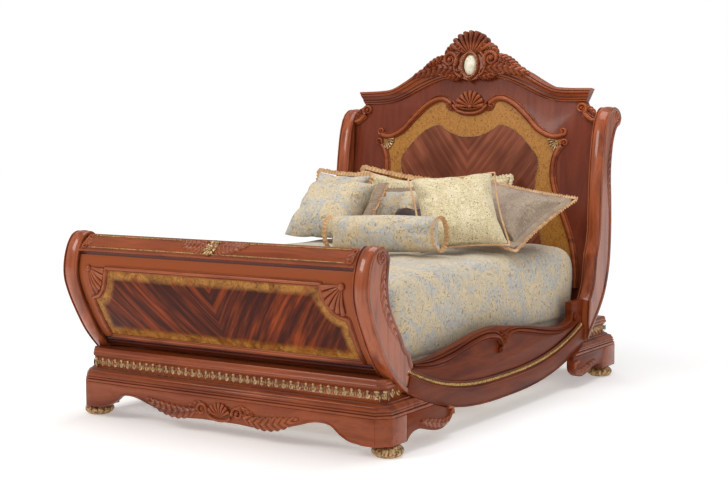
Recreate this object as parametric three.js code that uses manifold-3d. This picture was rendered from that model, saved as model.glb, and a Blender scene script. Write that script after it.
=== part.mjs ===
// A dressed queen sleigh bed: two plinths, C-curved footboard, bowed side rails, scrolled
// headboard, slats on cleats, foundation, mattress, comforter and pillows.
// Millimetres, +Z up, foot end toward -Y, head end toward +Y, origin on the floor at the
// middle of the bed's own box. Side outlines are drawn as [run, height], where run is the
// distance from the foot plinth's front face (foot pieces) or from the head plinth's back
// face (head pieces), so each end keeps its shape when the length changes.
import * as THREE from "three";
import { mergeVertices } from "three/addons/utils/BufferGeometryUtils.js";
import Module from "manifold-3d";

// ---- driving dimensions ----
const mattressWidth = 1524;
const mattressLength = 2030;
const railClear = 71; // mattress side to the rail's inner face
const mattressClear = 26; // mattress in front of the headboard's face line
const footRoom = 284; // foot plinth's front face to the mattress
const plinthStep = 20; // plinth side past the footboard stile
const headStileStep = 21; // headboard stile past the footboard stile
const stileWidth = 88;
const railThickness = 62; // veneered band and board together
const railBoard = 40;
const crestReach = 26; // how far the S-moulding stands off the rail board
const gap = 0.3; // between pieces that touch
const beyond = 3000; // farther out than any piece

const bunHeight = 55;
const bunRadius = 76;
const bunFromSide = 53; // bun centre, in from the plinth's side face
const bunFromFace = 102; // and in from its outer end face
const apronTop = 178;
const beltTop = 238; // top of the reeded moulding
const plinthTop = 345;
const cant = 59; // the clipped plinth corner, along each face
const apronBoard = 35;
const cornerReach = 180; // corner post, back from the plinth face
const cornerTongue = 86; // corner post behind the apron, in from the clipped corner
const cornerDepth = 150; // and back from the plinth face
const sideBoard = 40; // wing and corner post beside the opening
const wingTip = 173.22; // height at which the sweep meets the head wing's tip
const beltDepth = 70;
const beltShort = 13; // belt moulding's side return, short of the stile's inner face
const capPast = 17; // cap moulding's side return, past the stile's inner face
const footCapDepth = 190;

const panelThickness = 30; // footboard panel
const panelInset = 28; // footboard panel, in from the stile's outer curve
const headPanelThickness = 35;
const headPanelRun = 236; // headboard face at plinth level, in from the head plinth's back
const headPanelHeel = 10; // head cap moulding past the headboard's face line
const headLean = Math.atan(0.1); // the headboard leans back
const corniceDepth = 62;
const corniceReach = 28; // cornice in front of the headboard face
const carvingDepth = 26;
const cameoSink = 8; // how deep the oval's seat stops short of the carving's back
const cameoProud = 2;
const appliedDepth = 24; // mouldings applied to the headboard face
const archWidth = 40;
const sideMouldingWidth = 36;
const mountDepth = 14; // rosette on the footboard's crest

const mattressHeight = 280;
const foundationHeight = 200;
const slatHeight = 20;
const slatWidth = 90;
const cleatTop = 256;
const cleatHeight = 25;
const cleatWidth = 30;
const comforterLoft = 28; // over the mattress top
const comforterDrape = 20; // beside the mattress
const hemClear = 27; // comforter's hem over the plinth, tucked inside the rails

const wasm = await Module();
wasm.setup();

// ---- solids and plates ----
function solid(geometry) {
  const bare = new THREE.BufferGeometry();
  bare.setAttribute("position", geometry.getAttribute("position"));
  if (geometry.index) bare.setIndex(geometry.index);
  const merged = mergeVertices(bare, 1e-3);
  return new wasm.Manifold(
    new wasm.Mesh({
      numProp: 3,
      vertProperties: merged.attributes.position.array,
      triVerts: new Uint32Array(merged.index.array),
    }),
  );
}

function geometryOf(manifold) {
  const mesh = manifold.getMesh();
  const geometry = new THREE.BufferGeometry();
  geometry.setAttribute("position", new THREE.BufferAttribute(mesh.vertProperties, 3));
  geometry.setIndex(new THREE.BufferAttribute(mesh.triVerts, 1));
  geometry.computeVertexNormals();
  return geometry;
}

const cutAll = (geometry, cutters) =>
  geometryOf(cutters.reduce((rest, cutter) => rest.subtract(cutter), solid(geometry)));

const common = (geometry, other) => geometryOf(solid(geometry).intersect(solid(other)));

const joinAll = (geometries) =>
  geometryOf(geometries.map(solid).reduce((whole, piece) => whole.add(piece)));

const points2 = (points) => points.map(([a, b]) => new THREE.Vector2(a, b));

function extrude(points, depth, basis) {
  const shape = new THREE.Shape(points2(points));
  const geometry = new THREE.ExtrudeGeometry(shape, { depth, bevelEnabled: false });
  return geometry.applyMatrix4(basis);
}

const axisX = new THREE.Vector3(1, 0, 0);
const axisY = new THREE.Vector3(0, 1, 0);
const axisZ = new THREE.Vector3(0, 0, 1);

// A plate whose outline is seen from the side, [y, z], from x0 to x1.
const sidePlate = (points, x0, x1) =>
  extrude(points, x1 - x0, new THREE.Matrix4().makeBasis(axisY, axisZ, axisX)).translate(x0, 0, 0);

// A plate whose outline is seen from the foot end, [x, z], from y0 to y1.
const frontPlate = (points, y0, y1) =>
  extrude(
    points,
    y1 - y0,
    new THREE.Matrix4().makeBasis(axisX, axisZ, axisY.clone().negate()),
  ).translate(0, y1, 0);

// A plate whose outline is seen from above, [x, y], from z0 to z1.
const deckPlate = (points, z0, z1) =>
  extrude(points, z1 - z0, new THREE.Matrix4()).translate(0, 0, z0);

const box = (x0, x1, y0, y1, z0, z1) =>
  deckPlate([[x0, y0], [x1, y0], [x1, y1], [x0, y1]], z0, z1);

// The same side plate on either side of the bed.
const handed = (side, points, inner, outer) =>
  side > 0 ? sidePlate(points, inner, outer) : sidePlate(points, -outer, -inner);

// A smooth line through a few points, a fixed number of steps to each stretch.
function smooth(points, steps = 3) {
  const curve = new THREE.CatmullRomCurve3(
    points.map(([a, b]) => new THREE.Vector3(a, b, 0)),
    false,
    "centripetal",
  );
  return curve.getPoints((points.length - 1) * steps).map((p) => [p.x, p.y]);
}

const mirrored = (points) => points.map(([x, z]) => [-x, z]).reverse();

// A closed outline from its right half, which starts and ends on the centre line.
const bothHalves = (right) => [...right, ...mirrored(right.slice(1, -1))];

// A line moved sideways by a distance, to the left of its direction.
function offset(points, distance) {
  return points.map((point, i) => {
    const before = points[Math.max(i - 1, 0)];
    const after = points[Math.min(i + 1, points.length - 1)];
    const run = after[0] - before[0];
    const rise = after[1] - before[1];
    const length = Math.hypot(run, rise);
    return [point[0] - (rise / length) * distance, point[1] + (run / length) * distance];
  });
}

// A solid through level outlines of equal point counts: levels are [z, points].
function loft(levels) {
  const count = levels[0][1].length;
  const position = levels.flatMap(([z, points]) => points.flatMap(([x, y]) => [x, y, z]));
  const index = [];
  const top = (levels.length - 1) * count;
  for (const [a, b, c] of THREE.ShapeUtils.triangulateShape(points2(levels[0][1]), [])) {
    index.push(a, c, b, top + a, top + b, top + c);
  }
  for (let level = 0; level < levels.length - 1; level += 1) {
    for (let i = 0; i < count; i += 1) {
      const a = level * count + i;
      const b = level * count + ((i + 1) % count);
      index.push(a, b, b + count, a, b + count, a + count);
    }
  }
  const geometry = new THREE.BufferGeometry();
  geometry.setAttribute("position", new THREE.Float32BufferAttribute(position, 3));
  geometry.setIndex(index);
  return geometry;
}

const facing = (points) =>
  THREE.ShapeUtils.isClockWise(points2(points)) ? [...points].reverse() : points;

// ---- side profiles ----
const footOuter = [
  [60, 911], [10, 939], [-38, 930], [-76, 886], [-106, 800], [-109, 715], [-84, 637],
  [-42, 553], [26, 440], [97, 357], [155, 306],
];
const footJoint = [214, 264];
const footInner = [
  [268, 392], [240, 448], [209, 470], [172, 530], [112, 612], [72, 691], [60, 759],
  [66, 826], [76, 878],
];
const headJoint = [400, 243];
const headOuter = [
  [340, 298], [271, 360], [216, 414], [162, 480], [118, 565], [88, 660], [76, 760],
  [72, 900], [80, 1060], [90, 1180], [77, 1303], [50, 1388], [10, 1444], [-36, 1464],
];
const headRoll = [headOuter.at(-1), [-55, 1507], [-34, 1545], [24, 1570], [85, 1567], [131, 1541]];
const besideHeadPanel = [[-76, 1500], [-52, 1435], [-30, 1334], [-8, 1170], [2, 1000], [6, 880]];
const headFront = [
  ...besideHeadPanel.map(([past, z]) => [headPanelRun + past, z]),
  [262, 785], [292, 715], [304, 640], [320, 563], [345, 515], [376, 475],
];
const stileSeam = 700; // height of the joint between the two headboard stile pieces
const footEdge = smooth([...footOuter, footJoint]);
const headEdge = smooth([headJoint, ...headOuter]);
const headRollEdge = smooth(headRoll).slice(1);

// ---- derived places ----
const railInner = mattressWidth / 2 + railClear;
const railOuter = railInner + railThickness;
const boardOuter = railInner + railBoard;
const footStileOuter = railOuter;
const headStileOuter = footStileOuter + headStileStep;
const half = footStileOuter + plinthStep; // of the plinth's width
const headRoom = headPanelRun + mattressClear; // head plinth's back face to the mattress
const plinthLength = footRoom + mattressLength + headRoom;
const beltSide = plinthStep + stileWidth - beltShort; // side returns, in from the plinth's side
const capSide = plinthStep + stileWidth + capPast;
const reachOf = (edge) => -Math.min(...edge.map(([run]) => run)); // past the plinth's face
const footFace = -(plinthLength + reachOf(headRollEdge) - reachOf(footEdge)) / 2;
const headFace = footFace + plinthLength;
const footStileInner = footStileOuter - stileWidth;
const headStileInner = headStileOuter - stileWidth;
const boardSide = headStileInner - gap; // half of the headboard panel
const frontFlat = half - cant - gap; // half of an apron
const slatTop = cleatTop + gap + slatHeight;
const foundationTop = slatTop + gap + foundationHeight;
const mattressTop = foundationTop + gap + mattressHeight;
const bedTop = mattressTop + gap + comforterLoft;
const comforterHem = plinthTop + hemClear;

const foot = (run) => footFace + run;
const head = (run) => headFace - run;

// Front outlines are drawn for one half width and stretched sideways to the width in use.
const drawnBoard = 827.7;
const drawnApron = 855.7;
const stretched = (points, size, drawn) => points.map(([x, z]) => [(x * size) / drawn, z]);
const acrossBoard = (points) => stretched(points, boardSide, drawnBoard);
const acrossApron = (points) => stretched(points, frontFlat, drawnApron);

// ---- side rails' bow, and the swept edge of the whole side ----
const railLow = 87; // the rail's lowest point, at mid length
const railBow = 2.6; // how square the bow is
const railTop = [
  [0.12, 384], [0.23, 407], [0.35, 442], [0.46, 456], [0.52, 443], [0.6, 424], [0.7, 397],
  [0.8, 370], [0.88, 362], [0.915, 372],
];
const endBlock = { run: 158, top: 478 };

const railStart = foot(footJoint[0]);
const railEnd = head(headJoint[0]);
const along = (t) => railStart + (railEnd - railStart) * t;
const railBottom = (t) => {
  const joint = t < 0.5 ? footJoint[1] : headJoint[1];
  return railLow + (joint - railLow) * Math.abs(2 * t - 1) ** railBow;
};

const railSteps = 22;
const placed = (points, place) => points.map(([run, z]) => [place(run), z]);
const footCurve = placed(footEdge, foot);
const bottomCurve = Array.from({ length: railSteps + 1 }, (_, i) => [
  along(i / railSteps),
  railBottom(i / railSteps),
]);
const headCurve = placed(headEdge, head);

// Everything above and inside the bed's swept side edge. The plinths stop short of it.
const hull = [...footCurve, ...bottomCurve.slice(1, -1), ...headCurve];
const sweep = offset(hull, -gap);
const clearOfSides = [-1, 1].map((side) =>
  solid(
    handed(
      side,
      facing([[sweep[0][0], 1200], ...sweep, [sweep.at(-1)[0], 1600], [foot(800), 1600]]),
      footStileInner - gap,
      headStileOuter + gap,
    ),
  ),
);

// ---- the group ----
const bed = new THREE.Group();

const finishes = {
  mahogany: { color: 0x7a3a22, roughness: 0.35, metalness: 0 },
  flame: { color: 0x5a2417, roughness: 0.25, metalness: 0 },
  gilt: { color: 0x9a7a45, roughness: 0.4, metalness: 0.8 },
  ivory: { color: 0xe8e0c8, roughness: 0.35, metalness: 0 },
  pine: { color: 0xb98a58, roughness: 0.7, metalness: 0 },
  ticking: { color: 0xe6e0d2, roughness: 0.95, metalness: 0 },
  blueJacquard: { color: 0x9aa4a6, roughness: 0.8, metalness: 0 },
  creamScroll: { color: 0xe0d29c, roughness: 0.8, metalness: 0 },
  taupeSilk: { color: 0xa8917a, roughness: 0.5, metalness: 0 },
  brownSatin: { color: 0x3a2a24, roughness: 0.5, metalness: 0 },
};

function add(name, geometry, finish, parent = bed) {
  const mesh = new THREE.Mesh(geometry, new THREE.MeshStandardMaterial(finishes[finish]));
  mesh.name = name;
  parent.add(mesh);
  return mesh;
}

const sides = [
  ["left", -1],
  ["right", 1],
];
const ends = [
  ["foot", foot, cant, footJoint],
  ["head", head, 0, headJoint],
];

// ---- plinths ----
// Half of the apron's lower edge, from the centre out: carved belly, arch, bracket foot.
const scallop = smooth([
  [0, 71], [110, 71], [215, 66], [330, 78], [440, 104], [540, 131], [620, 126], [668, 92],
  [720, 66], [782, bunHeight + 2],
]);
const backArch = [[0, 110], [640, 110], [720, bunHeight]];

function apronOutline(lowerEdge) {
  const lower = [...acrossApron(lowerEdge), [frontFlat, bunHeight]];
  return bothHalves([...lower, [frontFlat, apronTop], [0, apronTop]]);
}

const footApron = apronOutline([...scallop, [782, bunHeight]]);
const headApron = apronOutline(backArch);
add("foot_apron", frontPlate(footApron, foot(0), foot(apronBoard)), "mahogany");
add("head_apron", frontPlate(headApron, head(apronBoard), head(0)), "mahogany");

// A corner post: clipped (foot) or square (head), with a block behind the apron for the bun.
function cornerOutline(side, place, clip) {
  const front = half - cant;
  const outline = [
    [front, 0], [half - clip, 0], [half, clip], [half, cornerReach],
    [half - sideBoard, cornerReach], [half - sideBoard, cornerDepth],
    [front - cornerTongue, cornerDepth], [front - cornerTongue, apronBoard + gap],
    [front, apronBoard + gap],
  ].filter((point, i, all) => !i || point[0] !== all[i - 1][0] || point[1] !== all[i - 1][1]);
  return facing(outline.map(([x, run]) => [side * x, place(run)]));
}

// How far in from the plinth's face the swept edge of the bed comes down to a height.
const sweptRun = (joint, z) => {
  const share = ((z - railLow) / (joint[1] - railLow)) ** (1 / railBow);
  return joint[0] + ((railEnd - railStart) * (1 - Math.min(share, 1))) / 2;
};

// The wing's outline, [run, z]: carved lower edge, tip under the rail's bow. Its lower edge
// is drawn for one reach and stretched to the reach in use.
const wingReach = sweptRun(headJoint, wingTip);
const drawnWing = 420;
const wingRun = (run) => cornerReach + (run * (wingReach - cornerReach)) / drawnWing;
const wing = [
  [cornerReach + gap, bunHeight],
  ...smooth([
    [0, bunHeight], [25, 76], [60, 90], [118, 92], [188, 74], [258, 59], [323, 57],
    [370, 72], [410, 98], [drawnWing, 119],
  ]).slice(1).map(([run, z]) => [wingRun(run), z]),
  [wingReach, apronTop], [cornerReach + gap, apronTop],
];

const bunProfile = [
  [0, 0], [0.72, 0], [0.9, 0.12], [1, 0.42], [0.96, 0.72], [0.8, 1], [0, 1],
].map(([r, z]) => new THREE.Vector2(r * bunRadius, z * (bunHeight - gap)));

for (const [end, place, clip] of ends) {
  for (const [hand, side] of sides) {
    add(
      `${end}_corner_${hand}`,
      deckPlate(cornerOutline(side, place, clip), bunHeight, apronTop),
      "mahogany",
    );
    const outline = facing(wing.map(([run, z]) => [place(run), z]));
    add(
      `${end}_wing_${hand}`,
      cutAll(handed(side, outline, half - sideBoard, half), clearOfSides),
      "mahogany",
    );
    const bunX = half - bunFromSide;
    const bun = new THREE.LatheGeometry(bunProfile, 28)
      .rotateX(Math.PI / 2)
      .translate(side * bunX, place(bunFromFace), 0);
    add(`${end}_bun_${hand}`, bun, "gilt");
  }
}

const sweptMargin = 30; // a plinth moulding's side return runs this far under the sweep

// A moulding round three sides of a plinth. levels are [z, inset], deep is its depth from
// the plinth face and sideDeep its side pieces' inner face, in from the plinth side.
function plinthMoulding(place, clip, joint, levels, deep, sideDeep) {
  const sideReturn = sweptRun(joint, levels[0][0]) + sweptMargin;
  const slope = Math.SQRT2 - 1;
  const outlineAt = (inset) => {
    const easing = clip ? slope * inset : 0;
    const right = [
      [half - clip - (clip ? easing : inset), inset],
      ...(clip ? [[half - inset, clip + easing]] : []),
      [half - inset, sideReturn],
      [half - sideDeep, sideReturn],
      [half - sideDeep, deep],
    ];
    const left = right.map(([x, run]) => [-x, run]).reverse();
    return [...right, ...left].map(([x, run]) => [x, place(run)]);
  };
  const clockwise = THREE.ShapeUtils.isClockWise(points2(outlineAt(0)));
  const level = ([z, inset]) => {
    const outline = outlineAt(inset);
    return [z, clockwise ? outline.reverse() : outline];
  };
  return cutAll(loft(levels.map(level)), clearOfSides);
}

// Moulding profiles as [share of the height, inset from the plinth face].
const profileLevels = (low, high, profile) =>
  profile.map(([share, inset]) => [low + (high - low) * share, inset]);
const beltLevels = profileLevels(apronTop + gap, beltTop, [
  [0, 2], [0.33, 2], [0.464, 13], [0.732, 16], [1, 30],
]);
const capLevels = profileLevels(beltTop + gap, plinthTop, [
  [0, 36], [0.1284, 50], [0.2971, 56], [0.4845, 55], [0.5783, 45], [0.747, 42],
  [0.8594, 44], [1, 52],
]);
const capDepth = { foot: footCapDepth, head: headPanelRun + headPanelHeel };
for (const [end, place, clip, joint] of ends) {
  add(
    `${end}_belt_moulding`,
    plinthMoulding(place, clip, joint, beltLevels, beltDepth, beltSide),
    "mahogany",
  );
  add(
    `${end}_cap_moulding`,
    plinthMoulding(place, clip, joint, capLevels, capDepth[end], capSide),
    "mahogany",
  );
}

// ---- footboard ----
const footStile = facing([
  ...footCurve,
  ...placed(smooth(footInner), foot),
]);
for (const [hand, side] of sides) {
  add(`foot_stile_${hand}`, handed(side, footStile, footStileInner, footStileOuter), "mahogany");
}

const crestSeat = 842; // where the curved panel meets the crest board
const footSpan = footStileInner - gap;
const panelBottom = plinthTop + gap;
const aboveJoint = footCurve.filter(([, z]) => z > plinthTop - 60 && z < 900);
const [beforeLast, last] = aboveJoint.slice(-2);
const tail = [3 * last[0] - 2 * beforeLast[0], 3 * last[1] - 2 * beforeLast[1]];
const bellyCurve = [...aboveJoint, tail]; // carried on below the joint, for the offset lines
const atHeight = (curve, z) => {
  const i = curve.findIndex((point, k) => k && (point[1] - z) * (curve[k - 1][1] - z) <= 0);
  const [a, b] = [curve[i - 1], curve[i]];
  return [a[0] + ((b[0] - a[0]) * (z - a[1])) / (b[1] - a[1]), z];
};
const between = (curve, low, high) => [
  atHeight(curve, high),
  ...curve.filter(([, z]) => z < high - 4 && z > low + 4),
  atHeight(curve, low),
];
const panelFace = between(offset(bellyCurve, panelInset), panelBottom, crestSeat);
const panelBack = between(
  offset(bellyCurve, panelInset + panelThickness),
  panelBottom,
  crestSeat,
);
add(
  "foot_panel",
  sidePlate(facing([...panelFace, ...[...panelBack].reverse()]), -footSpan, footSpan),
  "flame",
);

const crestBoard = [
  [-86, crestSeat + gap], [-72, 872], [-46, 902], [-10, 922], [30, 920], [54, 900],
  [58, 870], [44, crestSeat + gap],
];
add(
  "foot_crest_board",
  sidePlate(facing(crestBoard.map(([run, z]) => [foot(run), z])), -footSpan, footSpan),
  "mahogany",
);

// The gilt rosette and leaf mount in the middle of the crest board's sloping face.
const rosette = new THREE.Shape();
rosette.absellipse(0, 0, 170, 26, 0, 2 * Math.PI);
const mount = new THREE.ExtrudeGeometry(rosette, {
  depth: mountDepth,
  bevelEnabled: false,
  curveSegments: 12,
});
const crestSlope = Math.atan2(902 - 872, 72 - 46);
const mountMesh = add("foot_cartouche", mount, "gilt");
mountMesh.rotation.x = crestSlope;
mountMesh.position.set(
  0,
  foot(-59) - (gap + 0.5) * Math.sin(crestSlope),
  887 + (gap + 0.5) * Math.cos(crestSlope),
);

// ---- headboard stiles ----
const stileOutline = facing(
  placed([...headEdge, ...headRollEdge, ...smooth(headFront)], head),
);
for (const [hand, side] of sides) {
  const whole = handed(side, stileOutline, headStileInner, headStileOuter);
  const upperCut = solid(box(-beyond, beyond, -beyond, beyond, 0, stileSeam + gap));
  const lowerCut = solid(box(-beyond, beyond, -beyond, beyond, stileSeam, beyond));
  add(`head_lower_stile_${hand}`, cutAll(whole, [lowerCut]), "mahogany");
  add(`head_upper_stile_${hand}`, cutAll(whole, [upperCut]), "mahogany");
}

// ---- headboard, drawn flat and leaned back about its foot ----
const board = new THREE.Group();
board.position.set(0, head(headPanelRun), plinthTop);
board.rotation.x = -headLean;
bed.add(board);
const up = (z) => (z - plinthTop) / Math.cos(headLean); // height on the leaning face
const upright = (points) => points.map(([x, z]) => [x, up(z)]);

const corniceUnder = smooth([
  [0, 1762], [130, 1757], [222, 1741], [349, 1692], [470, 1636], [590, 1605], [764, 1602],
]);
const corniceOver = smooth([
  [796, 1678], [640, 1682], [560, 1692], [470, 1736], [390, 1782], [280, 1822], [150, 1846],
  [0, 1852],
]);
const panelLift = 4; // clear of the plinth under the leaning panel's heel
const underCornice = [...corniceUnder].reverse().map(([x, z]) => [x, z - gap * 2]);
const boardOutline = bothHalves(acrossBoard([
  [0, plinthTop + panelLift], [drawnBoard, plinthTop + panelLift], [drawnBoard, 1490],
  [785, 1545], ...underCornice,
]));
add(
  "headboard_panel",
  frontPlate(upright(boardOutline), 0, headPanelThickness),
  "flame",
  board,
);
const corniceOutline = bothHalves(acrossBoard([...corniceUnder, ...corniceOver]));
add(
  "headboard_cornice",
  frontPlate(upright(corniceOutline), -corniceReach, corniceDepth - corniceReach),
  "mahogany",
  board,
);

// The carved shell crest stands on the cornice's face.
const crestUpper = [
  [402, 1768], [335, 1802], [285, 1828], [225, 1862], [190, 1892], [146, 1932], [104, 1966],
  [58, 2014], [0, 2042],
];
const crestLower = [
  [0, 1728], [44, 1740], [120, 1762], [170, 1762], [240, 1772], [320, 1768],
];
const carvingBack = -corniceReach - gap;
const carving = bothHalves([...crestLower, ...crestUpper]);
const cameoHeight = 1829;
const cameoSize = [44, 66];
const cameoOutline = (grow) =>
  Array.from({ length: 24 }, (_, i) => {
    const angle = (i * Math.PI) / 12;
    const [width, height] = cameoSize;
    return [Math.cos(angle) * (width + grow), cameoHeight + Math.sin(angle) * (height + grow)];
  });
const seatFloor = carvingBack - cameoSink;
const cameoSeat = solid(
  frontPlate(upright(cameoOutline(gap)), carvingBack - carvingDepth - 1, seatFloor),
);
add(
  "crest_carving",
  cutAll(
    frontPlate(upright(carving), carvingBack - carvingDepth, carvingBack),
    [cameoSeat],
  ),
  "mahogany",
  board,
);
add(
  "crest_cameo",
  frontPlate(upright(cameoOutline(0)), carvingBack - carvingDepth - cameoProud, seatFloor - gap),
  "ivory",
  board,
);

// Mouldings applied to the face of the headboard. A ribbon follows a line at a half width.
function ribbon(line, width) {
  const middle = smooth(line);
  return facing([...offset(middle, width / 2), ...offset(middle, -width / 2).reverse()]);
}
const applied = (points) => frontPlate(upright(points), -appliedDepth - gap, -gap);
const archLine = acrossBoard([
  [0, 1560], [90, 1566], [150, 1590], [216, 1626], [297, 1603], [400, 1512], [470, 1440],
  [549, 1404], [632, 1428],
]);
const archRight = applied(ribbon(archLine, archWidth));
const archLeft = applied(ribbon(archLine.map(([x, z]) => [-x, z]), archWidth));
const shellOutline = Array.from({ length: 15 }, (_, i) => {
  const angle = (Math.PI * i) / 14;
  return [Math.cos(angle) * 98, 1574 + Math.sin(angle) * 104];
});
add(
  "headboard_arch_moulding",
  joinAll([archRight, archLeft, applied(facing(shellOutline))]),
  "mahogany",
  board,
);
const sideLine = acrossBoard([
  [640, 1358], [600, 1320], [576, 1262], [572, 1180], [592, 1090], [632, 990], [684, 872],
  [724, 760], [746, 640], [752, 520],
]);
const bracketOutline = acrossBoard([
  [drawnBoard, 1482], [drawnBoard, 1545], [790, 1560], [764, 1598],
  [722, 1596], [703, 1570], [708, 1538], [736, 1506], [776, 1484],
]);
for (const [hand, side] of sides) {
  const line = sideLine.map(([x, z]) => [side * x, z]);
  add(`headboard_side_moulding_${hand}`, applied(ribbon(line, sideMouldingWidth)), "mahogany", board);
  const bracket = bracketOutline.map(([x, z]) => [side * x, z]);
  add(`headboard_bracket_${hand}`, applied(facing(bracket)), "mahogany", board);
}

// ---- side rails ----
const railFootEnd = [foot(footInner[0][0]), footInner[0][1]];
const railHeadTop = [head(headFront.at(-1)[0]), headFront.at(-1)[1]];
const topLine = smooth([
  [railFootEnd[0] + gap, railFootEnd[1] - 4],
  ...railTop.map(([t, z]) => [along(t), z]),
]);
const blockStart = railHeadTop[0] - endBlock.run;
const railUpper = [
  ...topLine.filter(([y]) => y < blockStart - 4),
  [blockStart, 388],
  [blockStart, endBlock.top],
  [railHeadTop[0] - 2 * gap, endBlock.top],
];
const railLower = bottomCurve.slice(0).reverse();
railLower[0] = [railEnd - 2 * gap, headJoint[1] + 2];
railLower[railLower.length - 1] = [railStart + 2 * gap, footJoint[1] - 0.2];
const railOutline = facing([...railUpper, ...railLower]);
const bandWidth = 92; // the veneered band along the rail's lower edge
const bandOutline = facing([
  ...bottomCurve.map(([y, z]) => [y, z - bandWidth]),
  ...[...bottomCurve].reverse().map(([y, z]) => [y, z + bandWidth]),
]);

// The S-shaped mouldings that meet over the drop at mid rail, [share of the rail, z].
const crestFootUpper = [
  [0.035, 386], [0.13, 380], [0.24, 402], [0.35, 438], [0.42, 444], [0.465, 426], [0.49, 392],
];
const crestFootLower = [
  [0.49, 352], [0.465, 378], [0.42, 394], [0.35, 392], [0.25, 360], [0.17, 336],
  [0.08, 350], [0.035, 374],
];
const crestHeadUpper = [
  [0.49, 392], [0.52, 420], [0.57, 424], [0.64, 408], [0.74, 374], [0.83, 350], [0.9, 352],
  [0.955, 378],
];
const crestHeadLower = [
  [0.955, 366], [0.9, 332], [0.83, 322], [0.74, 338], [0.64, 372], [0.57, 394], [0.52, 384],
  [0.49, 352],
];
const spread = (points) => smooth(points).map(([t, z]) => [along(t), z]);

for (const [hand, side] of sides) {
  const plate = (points, inner, outer) => handed(side, facing(points), inner, outer);
  add(
    `side_rail_${hand}`,
    joinAll([
      plate(railOutline, railInner, boardOuter),
      common(plate(railOutline, boardOuter - 2, railOuter), plate(bandOutline, 0, half)),
    ]),
    "mahogany",
  );
  const crestInner = boardOuter + gap;
  const crestOuter = boardOuter + crestReach;
  const drop = new THREE.CylinderGeometry(18, 18, crestReach - gap, 16)
    .rotateZ(Math.PI / 2)
    .translate(side * (crestInner + crestOuter) * 0.5, along(0.485), 350);
  add(
    `rail_crest_${hand}`,
    joinAll([
      plate([...spread(crestFootUpper), ...spread(crestFootLower)], crestInner, crestOuter),
      plate([...spread(crestHeadUpper), ...spread(crestHeadLower)], crestInner, crestOuter),
      drop,
    ]),
    "mahogany",
  );
  const cleat = [
    [along(0.08), cleatTop - cleatHeight], [along(0.9), cleatTop - cleatHeight],
    [along(0.9), cleatTop], [along(0.08), cleatTop],
  ];
  add(`rail_cleat_${hand}`, plate(cleat, railInner - gap - cleatWidth, railInner - gap), "pine");
}

// ---- slats and their centre legs ----
const slatReach = railInner - 3;
const slatShares = [0.13, 0.5, 0.86];
slatShares.forEach((share, i) => {
  const y = along(share);
  const w = slatWidth / 2;
  add(
    `slat_${i + 1}`,
    box(-slatReach, slatReach, y - w, y + w, cleatTop + gap, slatTop),
    "pine",
  );
  const leg = new THREE.CylinderGeometry(24, 18, cleatTop, 12)
    .rotateX(Math.PI / 2)
    .translate(0, y, cleatTop / 2);
  add(`slat_leg_${i + 1}`, leg, "pine");
});

// ---- foundation, mattress and comforter ----
const beddingHead = head(headRoom);
const beddingFoot = beddingHead - mattressLength;
const roundedRect = (hx, y0, y1, r, steps = 3) => {
  const corner = (cx, cy, start) =>
    Array.from({ length: steps + 1 }, (_, i) => {
      const angle = start + (i * Math.PI) / 2 / steps;
      return [cx + r * Math.cos(angle), cy + r * Math.sin(angle)];
    });
  return [
    ...corner(hx - r, y1 - r, 0),
    ...corner(r - hx, y1 - r, Math.PI / 2),
    ...corner(r - hx, y0 + r, Math.PI),
    ...corner(hx - r, y0 + r, 1.5 * Math.PI),
  ];
};
const softBox = (hx, y0, y1, r, levels) =>
  loft(levels.map(([z, inset]) => [z, roundedRect(hx - inset, y0 + inset, y1 - inset, r)]));
const padHalf = mattressWidth / 2;
add(
  "foundation",
  softBox(padHalf - 6, beddingFoot, beddingHead, 90, [
    [slatTop + gap, 8], [slatTop + gap + 8, 0], [foundationTop - 8, 0], [foundationTop, 8],
  ]),
  "ticking",
);
add(
  "mattress",
  softBox(padHalf, beddingFoot, beddingHead, 90, [
    [foundationTop + gap, 20], [foundationTop + gap + 20, 0], [mattressTop - 60, 0],
    [mattressTop - 25, 14], [mattressTop, 45],
  ]),
  "ticking",
);
// The comforter is a cap over the mattress, open below, with its sides hanging in the rails.
const cover = softBox(
  padHalf + comforterDrape,
  beddingFoot - comforterDrape,
  beddingHead + comforterDrape,
  110,
  [
    [comforterHem, 6], [comforterHem + 80, 0], [bedTop - 90, 0], [bedTop - 50, 10],
    [bedTop - 18, 32], [bedTop, 70],
  ],
);
const underside = softBox(padHalf, beddingFoot, beddingHead, 90, [
  [comforterHem - 1, -gap], [mattressTop - 60, -gap], [mattressTop - 25, 14 - gap],
  [mattressTop + gap, 45 - gap],
]);
add("comforter", cutAll(cover, [solid(underside)]), "blueJacquard");

// ---- pillows ----
// A plump cushion, width along X and height along Z, thickest in the middle.
function cushion(width, height, thickness, steps = 8) {
  const position = [];
  const index = [];
  const row = steps + 1;
  for (const face of [-1, 1]) {
    for (let j = 0; j <= steps; j += 1) {
      for (let i = 0; i <= steps; i += 1) {
        const u = (2 * i) / steps - 1;
        const v = (2 * j) / steps - 1;
        const swell = ((1 - u ** 4) * (1 - v ** 4)) ** 0.6;
        const pinch = 1 - 0.06 * (1 - (u * v) ** 2) * (u * u + v * v) * 0.5;
        position.push(
          (u * width * pinch) / 2,
          (face * thickness * Math.max(swell, 0)) / 2,
          (v * height * pinch) / 2,
        );
      }
    }
  }
  const sheet = row * row;
  for (let j = 0; j < steps; j += 1) {
    for (let i = 0; i < steps; i += 1) {
      const a = j * row + i;
      const quad = [a, a + 1, a + row + 1, a + row];
      index.push(quad[0], quad[1], quad[2], quad[0], quad[2], quad[3]);
      const back = quad.map((k) => k + sheet);
      index.push(back[0], back[2], back[1], back[0], back[3], back[2]);
    }
  }
  const geometry = new THREE.BufferGeometry();
  geometry.setAttribute("position", new THREE.Float32BufferAttribute(position, 3));
  geometry.setIndex(index);
  return geometryOf(solid(geometry));
}

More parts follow.
